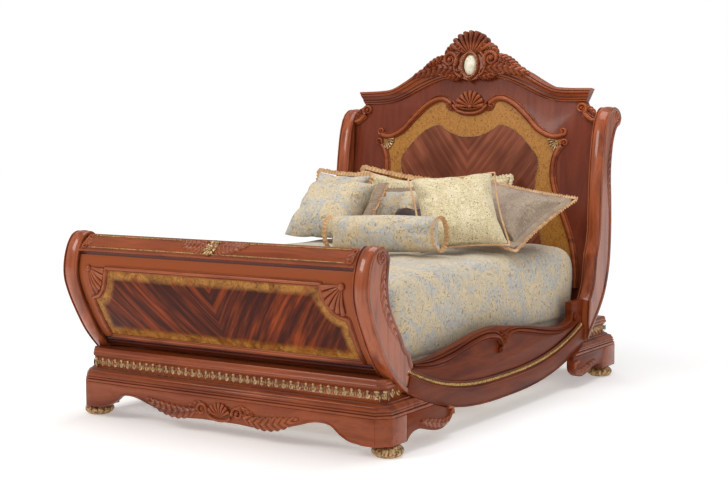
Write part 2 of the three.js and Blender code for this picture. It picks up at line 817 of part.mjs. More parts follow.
// name, finish, [width, height, thickness], [x, run from the head, height over the bed],
// [lean back, turn, roll] in degrees. Each stands with its centre at that height.
const pillows = [
  ["pillow_cream_back", "creamScroll", [600, 370, 110], [-385, 366, 212], [27, 6, 9]],
  ["pillow_cream_ruffled", "creamScroll", [400, 380, 110], [165, 330, 195], [28, 3, -6]],
  ["pillow_blue_back", "blueJacquard", [400, 395, 120], [-680, 560, 208], [22, -1, 3]],
  ["pillow_blue_middle", "blueJacquard", [396, 331, 110], [-235, 560, 172], [30, -6, -5]],
  ["pillow_taupe_sham", "taupeSilk", [680, 541, 110], [530, 745, 187], [60, -3, 14]],
  ["pillow_blue_sham", "blueJacquard", [560, 490, 140], [-520, 830, 186], [45, 0, 0]],
  ["pillow_brown", "brownSatin", [300, 230, 100], [0, 810, 112], [42, 0, 0]],
  ["pillow_cream_front", "creamScroll", [480, 520, 130], [455, 1098, 216], [44, 32, -6]],
  ["bolster", "blueJacquard", [730, 185, 170], [205, 1445, 108], [0, -3, -2]],
];
const turn = Math.PI / 180;
for (const [name, finish, size, [x, run, lift], [lean, yaw, roll]] of pillows) {
  const pillow = add(name, cushion(...size), finish);
  pillow.position.set(x, head(run), bedTop + lift);
  pillow.rotation.order = "ZXY";
  pillow.rotation.set(-lean * turn, roll * turn, yaw * turn);
}

export default bed;
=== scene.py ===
# %% [markdown]
# # A carved sleigh bed
# The real bed is knocked down for carrying: a footboard and a headboard, each on a plinth,
# and two bowed side rails with slats between them. The frame loaded here holds all of its
# solids at their true places. This lesson gives each solid its finished surface: mouldings,
# carving, veneer and gilding on the wood, and cloth on the bedding. Lengths in the lesson
# are in millimetres, the unit a cabinet maker marks out in, and become metres in one place.

# %% Load the frame
import math

import bmesh
import bpy
import numpy as np
from mathutils import Matrix, Vector


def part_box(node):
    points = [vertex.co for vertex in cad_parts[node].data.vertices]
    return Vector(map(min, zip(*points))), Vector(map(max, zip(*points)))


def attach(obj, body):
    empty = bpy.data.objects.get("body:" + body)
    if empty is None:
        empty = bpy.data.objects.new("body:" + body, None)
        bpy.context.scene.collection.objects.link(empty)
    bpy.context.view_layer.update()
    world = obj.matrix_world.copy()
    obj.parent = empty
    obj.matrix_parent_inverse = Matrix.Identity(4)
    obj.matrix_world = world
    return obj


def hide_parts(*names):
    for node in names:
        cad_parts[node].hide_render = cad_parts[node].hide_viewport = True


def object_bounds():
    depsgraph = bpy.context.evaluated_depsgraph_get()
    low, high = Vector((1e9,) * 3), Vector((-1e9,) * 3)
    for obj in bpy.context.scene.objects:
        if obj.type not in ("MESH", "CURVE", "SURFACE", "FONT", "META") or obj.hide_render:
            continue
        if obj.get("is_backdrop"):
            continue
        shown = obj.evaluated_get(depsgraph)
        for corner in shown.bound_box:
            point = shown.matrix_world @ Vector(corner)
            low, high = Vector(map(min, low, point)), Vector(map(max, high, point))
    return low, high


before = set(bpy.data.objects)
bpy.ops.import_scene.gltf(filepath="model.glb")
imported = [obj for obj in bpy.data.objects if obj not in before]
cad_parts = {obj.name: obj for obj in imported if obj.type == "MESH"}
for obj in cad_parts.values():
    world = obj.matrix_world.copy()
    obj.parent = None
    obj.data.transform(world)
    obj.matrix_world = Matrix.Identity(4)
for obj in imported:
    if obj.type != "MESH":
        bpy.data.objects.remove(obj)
frame_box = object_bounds()
scene = bpy.context.scene
MM = 0.001


def in_scene(name, data):
    made = bpy.data.objects.new(name, data)
    scene.collection.objects.link(made)
    return made


print("solids in the frame:", len(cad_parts))

# %% [markdown]
# The plinths, stiles and boards all stand at places that the frame already knows, so those
# places are read from it. A run is a distance in from the outer face of a plinth.

# %% Read the main places
def corner(node, which, axis):
    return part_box(node)[which][axis] / MM


foot_face = corner("foot_apron", 0, 1)
head_face = corner("head_apron", 1, 1)
plinth_half = corner("foot_wing_right", 1, 0)
plinth_top = corner("foot_cap_moulding", 1, 2)
apron_top = corner("foot_apron", 1, 2)
belt_top = corner("foot_belt_moulding", 1, 2)
foot_stile_outer = corner("foot_stile_right", 1, 0)
foot_stile_inner = corner("foot_stile_right", 0, 0)
head_stile_inner = corner("head_upper_stile_right", 0, 0)
stile_seam = corner("head_lower_stile_right", 1, 2)
rail_outer = corner("side_rail_right", 1, 0)
rail_crest_inner = corner("rail_crest_right", 0, 0)
bed_top = corner("comforter", 1, 2)
bun_height = corner("foot_bun_right", 1, 2)


def foot(run):
    return foot_face + run


def head(run):
    return head_face - run


print("plinth faces at", round(foot_face), round(head_face), "bed top at", round(bed_top))

# %% [markdown]
# ## Light, floor and camera
# The bed stands on a white studio floor under large soft lights. Polished mahogany shows its
# shape by what it mirrors, so long soft boxes stand at the sides to draw highlights down
# the rounded stiles.

# %% Set the camera and the lights
scene.view_settings.view_transform = "Standard"
scene.view_settings.look = "None"

camera_data = bpy.data.cameras.new("camera")
camera_data.lens = 67.1
camera_data.sensor_width = 36
camera_data.clip_end = 60
camera = in_scene("camera", camera_data)
camera.location = (3.953, -6.1805, 1.431)
camera.rotation_euler = (math.radians(90 - 4.70), 0, math.radians(32.63))
scene.camera = camera


def soft_box(name, place, target, size, power, colour=(1, 1, 1)):
    light = bpy.data.lights.new(name, "AREA")
    light.shape = "RECTANGLE"
    light.size, light.size_y = size
    light.energy = power
    light.color = colour
    lamp = in_scene(name, light)
    lamp.location = place
    aim = Vector(target) - Vector(place)
    lamp.rotation_euler = aim.to_track_quat("-Z", "Y").to_euler()


soft_box("key_light", (-2.6, -5.2, 4.2), (0, -0.4, 0.5), (2.6, 2.2), 128, (1, 0.96, 0.9))
soft_box("fill_light", (5.2, -2.6, 2.6), (0, 0, 0.7), (2.4, 2.6), 34, (1, 0.97, 0.92))
soft_box("top_light", (0.4, 0.2, 5.4), (0, 0.2, 0), (4.0, 4.0), 150)

world = bpy.data.worlds.new("studio")
scene.world = world
world.use_nodes = True
nodes, links = world.node_tree.nodes, world.node_tree.links
sky = nodes["Background"]
sky.inputs["Color"].default_value = (1, 1, 1, 1)
seen, power = nodes.new("ShaderNodeLightPath"), nodes.new("ShaderNodeMapRange")
power.inputs["To Min"].default_value = 0.42
power.inputs["To Max"].default_value = 1.0
links.new(seen.outputs["Is Camera Ray"], power.inputs["Value"])
links.new(power.outputs["Result"], sky.inputs["Strength"])
print("camera at", tuple(camera.location))

# %% [markdown]
# ## Finishes
# Every finish is a small tree of nodes on the piece's own Object coordinates, so its figure
# keeps its true size in metres and no picture file is needed. Wood needs a long grain, so
# the coordinates are squeezed along one axis before they reach the noise.

# %% Start a finish
class Finish:
    def __init__(self, name, roughness=0.5):
        self.material = bpy.data.materials.new(name)
        self.material.use_nodes = True
        self.tree = self.material.node_tree
        self.shader = self.tree.nodes["Principled BSDF"]
        self.shader.inputs["Roughness"].default_value = roughness

    def node(self, kind, **settings):
        made = self.tree.nodes.new(kind)
        for key, value in settings.items():
            if hasattr(made, key):
                setattr(made, key, value)
            else:
                made.inputs[key].default_value = value
        return made

    def join(self, source, target):
        self.tree.links.new(source, target)

    def place(self, scale=(1, 1, 1), turn=(0, 0, 0), source="Object"):
        at = self.node("ShaderNodeTexCoord")
        mapping = self.node("ShaderNodeMapping")
        mapping.inputs["Scale"].default_value = scale
        mapping.inputs["Rotation"].default_value = [math.radians(a) for a in turn]
        self.join(at.outputs[source], mapping.inputs["Vector"])
        return mapping.outputs["Vector"]

    def noise(self, vector, scale, detail=4, distortion=0.0, rough=0.55):
        made = self.node("ShaderNodeTexNoise")
        made.inputs["Scale"].default_value = scale
        made.inputs["Detail"].default_value = detail
        made.inputs["Roughness"].default_value = rough
        made.inputs["Distortion"].default_value = distortion
        self.join(vector, made.inputs["Vector"])
        return made.outputs["Fac"]

    def ramp(self, factor, stops):
        made = self.node("ShaderNodeValToRGB")
        band = made.color_ramp
        while len(band.elements) < len(stops):
            band.elements.new(0.5)
        for element, (at, colour) in zip(band.elements, stops):
            element.position = at
            element.color = (*colour, 1)
        self.join(factor, made.inputs["Fac"])
        return made.outputs["Color"]

    def math(self, how, a, b=None):
        made = self.node("ShaderNodeMath", operation=how)
        for socket, value in zip(made.inputs, (a, b)):
            if value is None:
                continue
            if isinstance(value, (int, float)):
                socket.default_value = value
            else:
                self.join(value, socket)
        return made.outputs["Value"]

    def mix(self, factor, a, b, how="MIX"):
        made = self.node("ShaderNodeMix", data_type="RGBA", blend_type=how)
        for key, value in ((0, factor), (6, a), (7, b)):
            socket = made.inputs[key]
            if isinstance(value, (int, float)):
                socket.default_value = value
            elif isinstance(value, tuple):
                socket.default_value = (*value, 1)
            else:
                self.join(value, socket)
        return made.outputs[2]

    def attribute(self, name):
        return self.node("ShaderNodeAttribute", attribute_name=name).outputs["Fac"]

    def bump(self, height, strength, depth):
        made = self.node("ShaderNodeBump")
        made.inputs["Strength"].default_value = strength
        made.inputs["Distance"].default_value = depth * MM
        self.join(height, made.inputs["Height"])
        self.join(made.outputs["Normal"], self.shader.inputs["Normal"])

    def colour(self, colour):
        self.join(colour, self.shader.inputs["Base Color"])

    def set(self, **values):
        for key, value in values.items():
            self.shader.inputs[key.replace("_", " ")].default_value = value


def linear(red, green, blue):
    """The linear colour for an ordinary 0-255 paint-chart colour."""
    return tuple((c / 255) ** 2.2 for c in (red, green, blue))


print("finish helper ready")

# %% [markdown]
# Mahogany has fine straight pores in a broad, soft ribbon of lighter and darker red-brown.
# Shade is painted into the hollows of carving, so the same finish reads an attribute that
# holds it: 1 in a hollow painted dark, 0 on a ridge. Plain boards have no such attribute,
# which reads as 0, so they get no painted shade.

# %% Mix the mahogany finishes
grain_axis = {"x": (0.12, 1, 1), "y": (1, 0.12, 1), "z": (1, 1, 0.12)}


def mahogany(name, grain, light, dark, glow=0.35, roughness=0.27, polish=0.15, bend=1.3):
    wood = Finish(name, roughness)
    along = wood.place(grain_axis[grain])
    ribbon = wood.noise(along, 9, 5, 0.8)
    pores = wood.noise(along, 240, 3, 0.3, 0.7)
    cloud = wood.noise(wood.place(), 2.2, 2)
    figure = wood.ramp(ribbon, [(0.34, dark), (0.52, light), (0.7, dark)])
    shade = wood.ramp(cloud, [(0.3, (0.86, 0.84, 0.84)), (0.7, (1.12, 1.1, 1.08))])
    tinted = wood.mix(1.0, figure, shade, "MULTIPLY")
    fine = wood.ramp(pores, [(0.38, (0.72, 0.68, 0.66)), (0.55, (1, 1, 1))])
    grained = wood.mix(glow, tinted, fine, "MULTIPLY")
    # Painted shade: where a vertex asks for it, the wood darkens nearly to black.
    glaze = wood.attribute("glaze")
    shade_colour = tuple(c * 0.16 for c in dark)
    wood.colour(wood.mix(wood.math("MULTIPLY", glaze, 0.85), grained, shade_colour))
    wood.bump(pores, 0.06, 0.3)
    wood.set(Coat_Weight=polish, Coat_Roughness=0.08, IOR=bend)
    return wood.material


red_light = linear(148, 76, 44)
red_dark = linear(114, 52, 30)
mahogany_x = mahogany("mahogany_across", "x", red_light, red_dark)
# A darker copy of the mahogany for the side pieces: painted shade, as the sides of the bed stand in
# shade.
mahogany_y_shaded = mahogany("mahogany_along", "y", linear(122, 56, 26), linear(88, 36, 16), 0.35, 0.36,
                      0.04, 1.2)
mahogany_z = mahogany("mahogany_upright", "z", linear(168, 90, 56), red_dark, polish=0.55)
carved_light = linear(164, 88, 52)
carved_wood = mahogany("mahogany_carved", "x", carved_light, red_dark, 0.25, 0.3)
field_wood = mahogany("mahogany_field", "z", linear(122, 60, 42), linear(102, 48, 34))
dark_wood = mahogany("mahogany_shadow", "x", linear(96, 42, 28), linear(72, 30, 22))
print("mahogany finishes:", 6)

# %% [markdown]
# Veneer is where the maker shows off. The crotch figure runs up and outward from a seam on
# the centre line, like feathers, so the pattern is drawn on the distance from that seam.
# A border of golden burl, all small eyes and swirls, fades into it.

# %% Mix the veneers
burl_light = linear(186, 130, 66)
burl_dark = linear(134, 84, 38)


def burl_colour(wood):
    swirl = wood.noise(wood.place(), 26, 6, 2.4, 0.62)
    eyes = wood.node("ShaderNodeTexVoronoi", feature="F1")
    eyes.inputs["Scale"].default_value = 62
    wood.join(wood.place(), eyes.inputs["Vector"])
    ground = wood.ramp(swirl, [(0.34, burl_dark), (0.5, burl_light), (0.68, burl_dark)])
    pips = wood.ramp(eyes.outputs["Distance"], [(0.08, (0.42, 0.36, 0.3)), (0.26, (1, 1, 1))])
    return wood.mix(0.6, ground, pips, "MULTIPLY")


def mid_way(a, b, share):
    return tuple(p + (q - p) * share for p, q in zip(a, b))


def feather_colour(wood, slant, light, dark, streaks):
    """Streaks that climb away from the seam, the same on both sides of it."""
    at = wood.node("ShaderNodeTexCoord")
    parts = wood.node("ShaderNodeSeparateXYZ")
    wood.join(at.outputs["Object"], parts.inputs["Vector"])
    away = wood.math("ABSOLUTE", parts.outputs["X"])
    along = wood.math("MULTIPLY_ADD", away, math.cos(slant))
    wood.join(wood.math("MULTIPLY", parts.outputs["Z"], math.sin(slant)), along.node.inputs[2])
    across = wood.math("MULTIPLY_ADD", away, -math.sin(slant))
    wood.join(wood.math("MULTIPLY", parts.outputs["Z"], math.cos(slant)), across.node.inputs[2])
    joined = wood.node("ShaderNodeCombineXYZ")
    wood.join(wood.math("MULTIPLY", along, 0.07), joined.inputs["X"])
    wood.join(across, joined.inputs["Y"])
    streak = wood.noise(joined.outputs["Vector"], streaks, 6, 0.12, 0.62)
    patch = wood.ramp(wood.noise(wood.place(), 4, 2), [(0.4, (0.55,) * 3), (0.62, (1.0,) * 3)])
    figure = wood.ramp(streak, [(0.42, dark), (0.52, mid_way(dark, light, 0.3)), (0.63, light)])
    return wood.mix(0.75, figure, patch, "MULTIPLY")


def veneer(name, slant, light, dark, streaks, bordered):
    wood = Finish(name, 0.2)
    colour = feather_colour(wood, slant, light, dark, streaks)
    if bordered:
        blotches = wood.noise(wood.place(), 17, 4, 0.8)
        mottled = wood.ramp(blotches, [(0.34, (0.3,) * 3), (0.6, (1,) * 3)])
        border = wood.math("MULTIPLY", wood.attribute("burl"), mottled)
        colour = wood.mix(border, colour, burl_colour(wood))
        colour = wood.mix(wood.attribute("plain"), colour, linear(150, 80, 50))
    wood.colour(colour)
    wood.bump(wood.noise(wood.place((0.3, 1, 1)), 300, 2), 0.03, 0.2)
    wood.set(Coat_Weight=0.06, Coat_Roughness=0.06, IOR=1.2)
    return wood.material


flame_veneer = veneer(
    "flame_veneer", math.radians(50), linear(150, 66, 28), linear(70, 27, 15), 30, True
)
field_veneer = veneer(
    "feather_veneer", math.radians(52), linear(158, 94, 70), linear(122, 66, 50), 26, False
)
burl = Finish("burl_veneer", 0.26)
burl.colour(burl_colour(burl))
burl.set(Coat_Weight=0.1, Coat_Roughness=0.08, IOR=1.25)
burl_veneer = burl.material
print("veneers:", flame_veneer.name, field_veneer.name, burl_veneer.name)

# %% [markdown]
# The gilding is old gold rubbed back to a brown ground in patches, with painted shade that
# turns its hollows nearly black. The oval in the crest is a creamy polished stone with faint
# clouds.
# Slats and cleats are bare pine.

# %% Mix the gilding, the oval's finish and the pine
def gilding(name, bright, ground):
    gold = Finish(name, 0.36)
    wear = gold.ramp(gold.noise(gold.place(), 90, 4), [(0.35, ground), (0.6, bright)])
    # Painted shade: the hollows turn nearly black.
    glaze = gold.math("MULTIPLY", gold.attribute("glaze"), 0.9)
    gold.colour(gold.mix(glaze, wear, tuple(c * 0.12 for c in ground)))
    gold.bump(gold.noise(gold.place(), 160, 3), 0.12, 0.5)
    gold.set(Metallic=0.6)
    return gold.material


gilt = gilding("gilding", linear(226, 190, 120), linear(138, 102, 58))
old_gilt = gilding("gilding_old", linear(214, 176, 126), linear(112, 76, 48))

stone = Finish("ivory_oval", 0.3)
stone.colour(
    stone.ramp(
        stone.noise(stone.place(), 24, 6, 1.4),
        [(0.34, linear(214, 204, 178)), (0.62, linear(240, 234, 214))],
    )
)
stone.bump(stone.noise(stone.place(), 60, 3), 0.05, 0.4)
ivory = stone.material

board = Finish("pine", 0.62)
board.colour(
    board.ramp(
        board.noise(board.place((0.1, 1, 1)), 30, 4, 0.6),
        [(0.36, linear(196, 152, 98)), (0.64, linear(222, 184, 130))],
    )
)
board.bump(board.noise(board.place((0.1, 1, 1)), 160, 3), 0.2, 0.4)
pine = board.material
print("hard finishes ready")

# %% [markdown]
# ## Curves and shells
# The outlines in this lesson have only the few points that their shape needs. One helper
# runs a smooth line through them, and another finds the direction square to a line, which
# every moulding needs for its width.

# %% Draw smooth lines
def smooth(points, steps=5):
    """A centripetal curve through the points, a fixed number of steps to each stretch."""
    knots = [np.array(p, float) for p in points]
    knots = [2 * knots[0] - knots[1], *knots, 2 * knots[-1] - knots[-2]]
    line = []
    for a, b, c, d in zip(knots, knots[1:], knots[2:], knots[3:]):
        t1, t2, t3 = (np.linalg.norm(q - p) ** 0.5 for p, q in ((a, b), (b, c), (c, d)))
        leave = t2 * ((b - a) / t1 - (c - a) / (t1 + t2) + (c - b) / t2)
        arrive = t2 * ((c - b) / t2 - (d - b) / (t2 + t3) + (d - c) / t3)
        for s in np.arange(steps) / steps:
            line.append(
                (2 * s**3 - 3 * s**2 + 1) * b + (s**3 - 2 * s**2 + s) * leave
                + (3 * s**2 - 2 * s**3) * c + (s**3 - s**2) * arrive
            )
    line.append(knots[-2])
    return np.array(line)


def squares(line, closed=False):
    """Unit directions square to a flat line, to its left."""
    if closed:
        ahead, behind = np.roll(line, -1, 0), np.roll(line, 1, 0)
    else:
        ahead, behind = np.vstack([line[1:], line[-1:]]), np.vstack([line[:1], line[:-1]])
    run = ahead - behind
    run = run / np.maximum(np.linalg.norm(run, axis=1, keepdims=True), 1e-6)
    return np.stack([-run[:, 1], run[:, 0]], 1)


def evenly(line, count):
    """The same line with its points spread evenly along it."""
    line = np.asarray(line, float)
    steps = np.linalg.norm(np.diff(line, axis=0), axis=1)
    way = np.concatenate([[0], np.cumsum(steps)])
    at = np.linspace(0, way[-1], count)
    return np.stack([np.interp(at, way, line[:, k]) for k in range(line.shape[1])], 1)


def length_of(line):
    return float(np.linalg.norm(np.diff(np.asarray(line, float), axis=0), axis=1).sum())


print("a test arc has", len(smooth([(0, 0), (10, 4), (20, 0)])), "points")

# %% [markdown]
# Carving lies on many grounds: the leaning headboard, the rounded belly of the footboard,
# the flat side of a rail. So each ornament is first drawn flat, as across, up and height,
# and a ground then sets it in place. Each part is a closed shell: a face of carved heights,
# a hidden back just under the ground, and walls between them.

# %% Make closed parts
class Part:
    """Vertices in millimetres, faces, and how much painted shade each vertex holds."""

    def __init__(self, points, faces, glaze=0.0):
        self.points = np.asarray(points, float)
        self.faces = faces
        self.glaze = np.broadcast_to(np.asarray(glaze, float), len(self.points)).copy()

    def across(self):
        """The same part on the other side of the bed."""
        turned = [tuple(reversed(f)) for f in self.faces]
        return Part(self.points * (-1, 1, 1), turned, self.glaze)


def both(part):
    return [part, part.across()]


def grid_faces(rows, cols, wrap=False):
    faces = []
    for i in range(rows - 1):
        for j in range(cols if wrap else cols - 1):
            k = (j + 1) % cols
            faces.append((i * cols + j, i * cols + k, (i + 1) * cols + k, (i + 1) * cols + j))
    return faces


def tube_faces(rings, count, inside_out=False):
    """The faces round a pile of rings, and the two that close its ends."""
    first, last = range(count), range((rings - 1) * count, rings * count)
    if inside_out:
        ends = [tuple(first), tuple(reversed(last))]
    else:
        ends = [tuple(reversed(first)), tuple(last)]
    return grid_faces(rings, count, wrap=True) + ends


def shell_faces(rows, cols):
    """The faces of a front grid, of a back grid of the same size, and of the rim."""
    count = rows * cols
    faces = grid_faces(rows, cols)
    faces += [tuple(count + k for k in reversed(f)) for f in faces]
    rim = [*range(cols - 1), *range(cols - 1, count - 1, cols)]
    rim += [*range(count - 1, count - cols, -1), *range(count - cols, 0, -cols)]
    return faces + [(b, a, count + a, count + b) for a, b in zip(rim, rim[1:] + rim[:1])]


def lay(ground, line, height):
    """A flat line set on a ground, all of it at one height."""
    return ground(line[:, 0], line[:, 1], np.full(len(line), float(height)))


def carving(ground, across, up, height, base=-1.0, glaze=None):
    """A closed shell whose face is a grid of heights over a ground."""
    count = across.size
    face = ground(across.ravel(), up.ravel(), height.ravel())
    back = ground(across.ravel(), up.ravel(), np.full(count, float(base)))
    # Unless told otherwise, shade is painted by depth: the lower the relief, the darker.
    if glaze is None:
        top = max(float(height.max()), 0.1)
        glaze = np.clip(1 - height / top * 1.25, 0, 1) ** 1.5
    both_sides = np.concatenate([np.broadcast_to(glaze, across.shape).ravel(), np.ones(count)])
    return Part(np.vstack([face, back]), shell_faces(*across.shape), both_sides)


def sweep(ground, line, section, taper=None):
    """A closed section of (offset, height) points carried along a flat line."""
    line = np.asarray(line, float)
    side = squares(line)
    size = np.ones(len(line)) if taper is None else np.asarray(taper, float)
    section = np.asarray(section, float)
    rings = []
    for offset, height in section:
        spot = line + side * (offset * size)[:, None]
        rings.append(ground(spot[:, 0], spot[:, 1], height * np.where(height > 0, size, 1)))
    points = np.stack(rings, 1).reshape(-1, 3)
    # Painted shade on the low parts of the section, next to the ground.
    low = section[:, 1].max() * 0.35
    glaze = np.where(section[:, 1] < low, 0.7, 0.0)
    faces = tube_faces(len(line), len(section), inside_out=True)
    return Part(points, faces, np.tile(glaze, len(line)))


def ruled(ground, first, second, section, glaze):
    """A moulding that fills the room between two lines of equal point counts.

    section holds (share across, height) points, going round once."""
    rings = []
    for share, height in section:
        spot = first + (second - first) * share
        rings.append(lay(ground, spot, height))
    points = np.stack(rings, 1).reshape(-1, 3)
    faces = tube_faces(len(first), len(section), inside_out=True)
    return Part(points, faces, np.tile(glaze, len(first)))


def plate(ground, outline, low, high, soften=0.0):
    """A flat plate with an outline, its upper edge eased by a small chamfer."""
    outline = np.asarray(outline, float)
    inward = squares(outline, closed=True)
    if signed_area(outline) < 0:
        inward = -inward
    levels = [(0, low), (0, high - soften), (soften, high)] if soften else [(0, low), (0, high)]
    rings = []
    for inset, height in levels:
        rings.append(lay(ground, outline + inward * inset, height))
    return Part(np.vstack(rings), tube_faces(len(levels), len(outline)))


def signed_area(outline):
    x, y = outline[:, 0], outline[:, 1]
    return 0.5 * float(np.sum(x * np.roll(y, -1) - np.roll(x, -1) * y))


print("shell helpers ready")

# %% [markdown]
# A finished piece gathers its parts into one mesh at the world's origin. Doubled points are
# merged first and only then are the normals turned outward, because a mirrored part comes
# in inside out. Edges sharper than a set angle stay crisp.

# %% Gather parts into a piece
def set_mesh(mesh, finishes, crease=38):
    for finish in finishes:
        mesh.materials.append(finish)
    mesh.shade_smooth()
    mesh.set_sharp_from_angle(angle=math.radians(crease))


def joined_mesh(name, parts):
    """One mesh of several parts, merged, with the walls inside closed rings taken out."""
    points = np.vstack([part.points for part in parts]) * MM
    faces, start = [], 0
    for part in parts:
        faces += [tuple(start + k for k in face) for face in part.faces]
        start += len(part.points)
    mesh = bpy.data.meshes.new(name)
    mesh.from_pydata(points.tolist(), [], faces)
    # Each vertex carries its painted shade as an attribute.
    glaze = mesh.attributes.new("glaze", "FLOAT", "POINT")
    glaze.data.foreach_set("value", np.concatenate([part.glaze for part in parts]))
    whole = bmesh.new()
    whole.from_mesh(mesh)
    bmesh.ops.remove_doubles(whole, verts=whole.verts, dist=2e-6)
    bmesh.ops.dissolve_degenerate(whole, dist=2e-6, edges=whole.edges)
    seam_walls = [face for face in whole.faces
                  if sum(len(edge.link_faces) > 2 for edge in face.edges) > 1]
    bmesh.ops.delete(whole, geom=seam_walls, context="FACES")
    bmesh.ops.recalc_face_normals(whole, faces=whole.faces)
    whole.to_mesh(mesh)
    whole.free()
    return mesh


def gather(name, parts, finish, stands_for=(), crease=38):
    mesh = joined_mesh(name, parts)
    set_mesh(mesh, [finish], crease)
    made = in_scene(name, mesh)
    settle(made, stands_for)
    return made


def settle(made, stands_for):
    """Hang the piece on the root body, and hide the solids that it stands for."""
    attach(made, "root")
    if stands_for:
        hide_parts(*stands_for)


def live_result(made):
    """Turn an object's modifiers into plain mesh, and drop them."""
    bpy.context.view_layer.update()
    shape = made.evaluated_get(bpy.context.evaluated_depsgraph_get())
    result = bpy.data.meshes.new_from_object(shape)
    made.modifiers.clear()
    made.data = result
    return made


print("gathering helper ready")

# %% [markdown]
# Many boards are already the right shape in the frame and only need what a plane and
# sandpaper give them: edges that are eased, so they catch the light. A copy of the solid is
# merged, its flat triangles are joined back into whole faces, and a Bevel rounds the edges.

# %% Ease the edges of a plain board
def eased_copy(node, finish, width=2.0, name=None, segments=2):
    source = bpy.data.objects[node]
    copy = bmesh.new()
    copy.from_mesh(source.data)
    bmesh.ops.remove_doubles(copy, verts=copy.verts, dist=1e-5)
    bmesh.ops.dissolve_limit(
        copy, angle_limit=math.radians(0.6), verts=copy.verts, edges=copy.edges
    )
    bmesh.ops.recalc_face_normals(copy, faces=copy.faces)
    mesh = bpy.data.meshes.new(name or node + "_eased")
    copy.to_mesh(mesh)
    copy.free()
    made = in_scene(mesh.name, mesh)
    bevel = made.modifiers.new("edge", "BEVEL")
    bevel.width = width * MM
    bevel.segments = segments
    bevel.limit_method = "ANGLE"
    bevel.angle_limit = math.radians(32)
    bevel.use_clamp_overlap = True
    live_result(made)
    made.data.materials.clear()
    set_mesh(made.data, [finish], 30)
    settle(made, [node])
    return made


print("board helper ready")

# %% [markdown]
# ## Carver's ornaments
# The same few ornaments come back all over the bed: a scroll, a shell, a leaf and a round
# boss. Each is a rule, not a sculpture: a scroll is a tapering reed wound round an eye, a
# shell is a fan of lobes, and a leaf is a spine with side lobes that curl over.

# %% Carve scrolls, shells, leaves and bosses
def reed(width, height, base=-1.0, steps=9):
    """A half-round section with a small flat beside it."""
    turn = np.linspace(0, math.pi, steps)
    arc = [(-math.cos(a) * width / 2, math.sin(a) ** 0.8 * height) for a in turn]
    return [*arc, (width / 2, base), (-width / 2, base)]


def double_reed(width, height, base=-1.0):
    """A wide reed with a narrow one on each side of it, a cabinet maker's usual moulding."""
    shares = [
        (-0.5, 0.1), (-0.47, 0.42), (-0.41, 0.52), (-0.36, 0.42), (-0.34, 0.3), (-0.26, 0.68),
        (-0.14, 0.94), (0, 1), (0.14, 0.94), (0.26, 0.68), (0.34, 0.3), (0.36, 0.42),
        (0.41, 0.52), (0.47, 0.42), (0.5, 0.1),
    ]
    arc = [(x * width, z * height) for x, z in shares]
    return [*arc, (width / 2, base), (-width / 2, base)]


def boss(ground, centre, radius, height, base=-1.0, squash=1.0):
    """A round button."""
    ring = np.linspace(0, 1, 6)[:, None] * np.ones((1, 19))
    turn = np.linspace(0, 2 * math.pi, 19)[None, :] * np.ones((6, 1))
    across = centre[0] + radius * ring * np.cos(turn)
    up = centre[1] + radius * squash * ring * np.sin(turn)
    return carving(ground, across, up, height * np.sqrt(np.maximum(1 - ring**2, 0)), base)


def scroll(ground, centre, radius, turns, start, hand, width, height, base=-1.0):
    """A tapering reed wound inwards round an eye. start is in degrees, hand is 1 or -1."""
    share = np.linspace(0, 1, int(26 * turns) + 6)
    angle = math.radians(start) + hand * share * turns * 2 * math.pi
    reach = radius * (1 - 0.74 * share**0.8)
    line = np.stack(
        [centre[0] + reach * np.cos(angle), centre[1] + reach * np.sin(angle)], 1
    )
    taper = 1 - 0.55 * share
    whorl = sweep(ground, line, reed(width, height, base), taper)
    eye = boss(ground, centre, radius * 0.3, height * 1.15, base)
    return [whorl, eye]


def shell(ground, centre, reach, lobes, start, end, height, inner=0.12, base=-1.0, tall=1.0):
    """A fan of lobes between two angles in degrees, with a scalloped rim."""
    steps = lobes * 6
    share = np.linspace(0, 1, steps + 1)[None, :]
    ring = np.linspace(inner, 1, 10)[:, None]
    lobe = np.abs(np.sin(math.pi * lobes * share)) ** 0.6
    turn = math.radians(start) + math.radians(end - start) * share
    rim = reach * (1 + 0.07 * lobe) * ring
    across = centre[0] + rim * np.cos(turn)
    up = centre[1] + rim * np.sin(turn) * tall
    crown = np.sin(math.pi * np.minimum(ring * 0.62 + 0.06, 1)) ** 0.8
    relief = height * crown * (0.3 + 0.7 * lobe * np.minimum(ring * 1.5, 1))
    # Painted shade in the valleys between the lobes.
    glaze = np.clip(1 - lobe * 1.5, 0, 1) * np.ones_like(ring)
    return carving(ground, across, up, relief, base, glaze)


def leaf(ground, spine, width, lobes, height, base=-1.0, rows=None, curl=0.24):
    """An acanthus leaf on a spine: a raised rib, and lobes that sweep back to its edges."""
    rows = rows or lobes * 7
    line = evenly(smooth(spine), rows)
    side = squares(line)
    share = np.linspace(0, 1, rows)[:, None]
    t = np.linspace(-1, 1, 13)[None, :]
    phase = lobes * share - np.abs(t) * 0.9
    lobe = np.abs(np.sin(math.pi * phase))
    swell = np.sin(math.pi * np.clip(share * 0.94 + 0.05, 0, 1)) ** 0.6
    edge = width / 2 * swell * (1 - curl + curl * np.abs(np.sin(math.pi * lobes * share)))
    across = line[:, 0][:, None] + side[:, 0][:, None] * edge * t
    up = line[:, 1][:, None] + side[:, 1][:, None] * edge * t
    crown = (1 - t**2) ** 0.45
    rib = 0.3 * np.exp(-((t / 0.13) ** 2))
    relief = height * swell**0.5 * (crown * (0.4 + 0.6 * lobe**0.7) + rib)
    # Painted shade in the dips between the lobes.
    glaze = np.clip(1 - lobe * 1.6, 0, 1) * np.ones_like(relief)
    return carving(ground, across, up, relief, base, glaze)


print("ornament helpers ready")

# %% [markdown]
# Rope, beads, gadroons and the little gilt leaves of the frieze are one small part repeated
# by the hundred. Geometry Nodes do that from a path: the path's own points carry the
# direction that the part must face, the curve is cut at an even pitch, and a copy stands
# on each cut. One tree serves every row, with its sizes as named inputs.

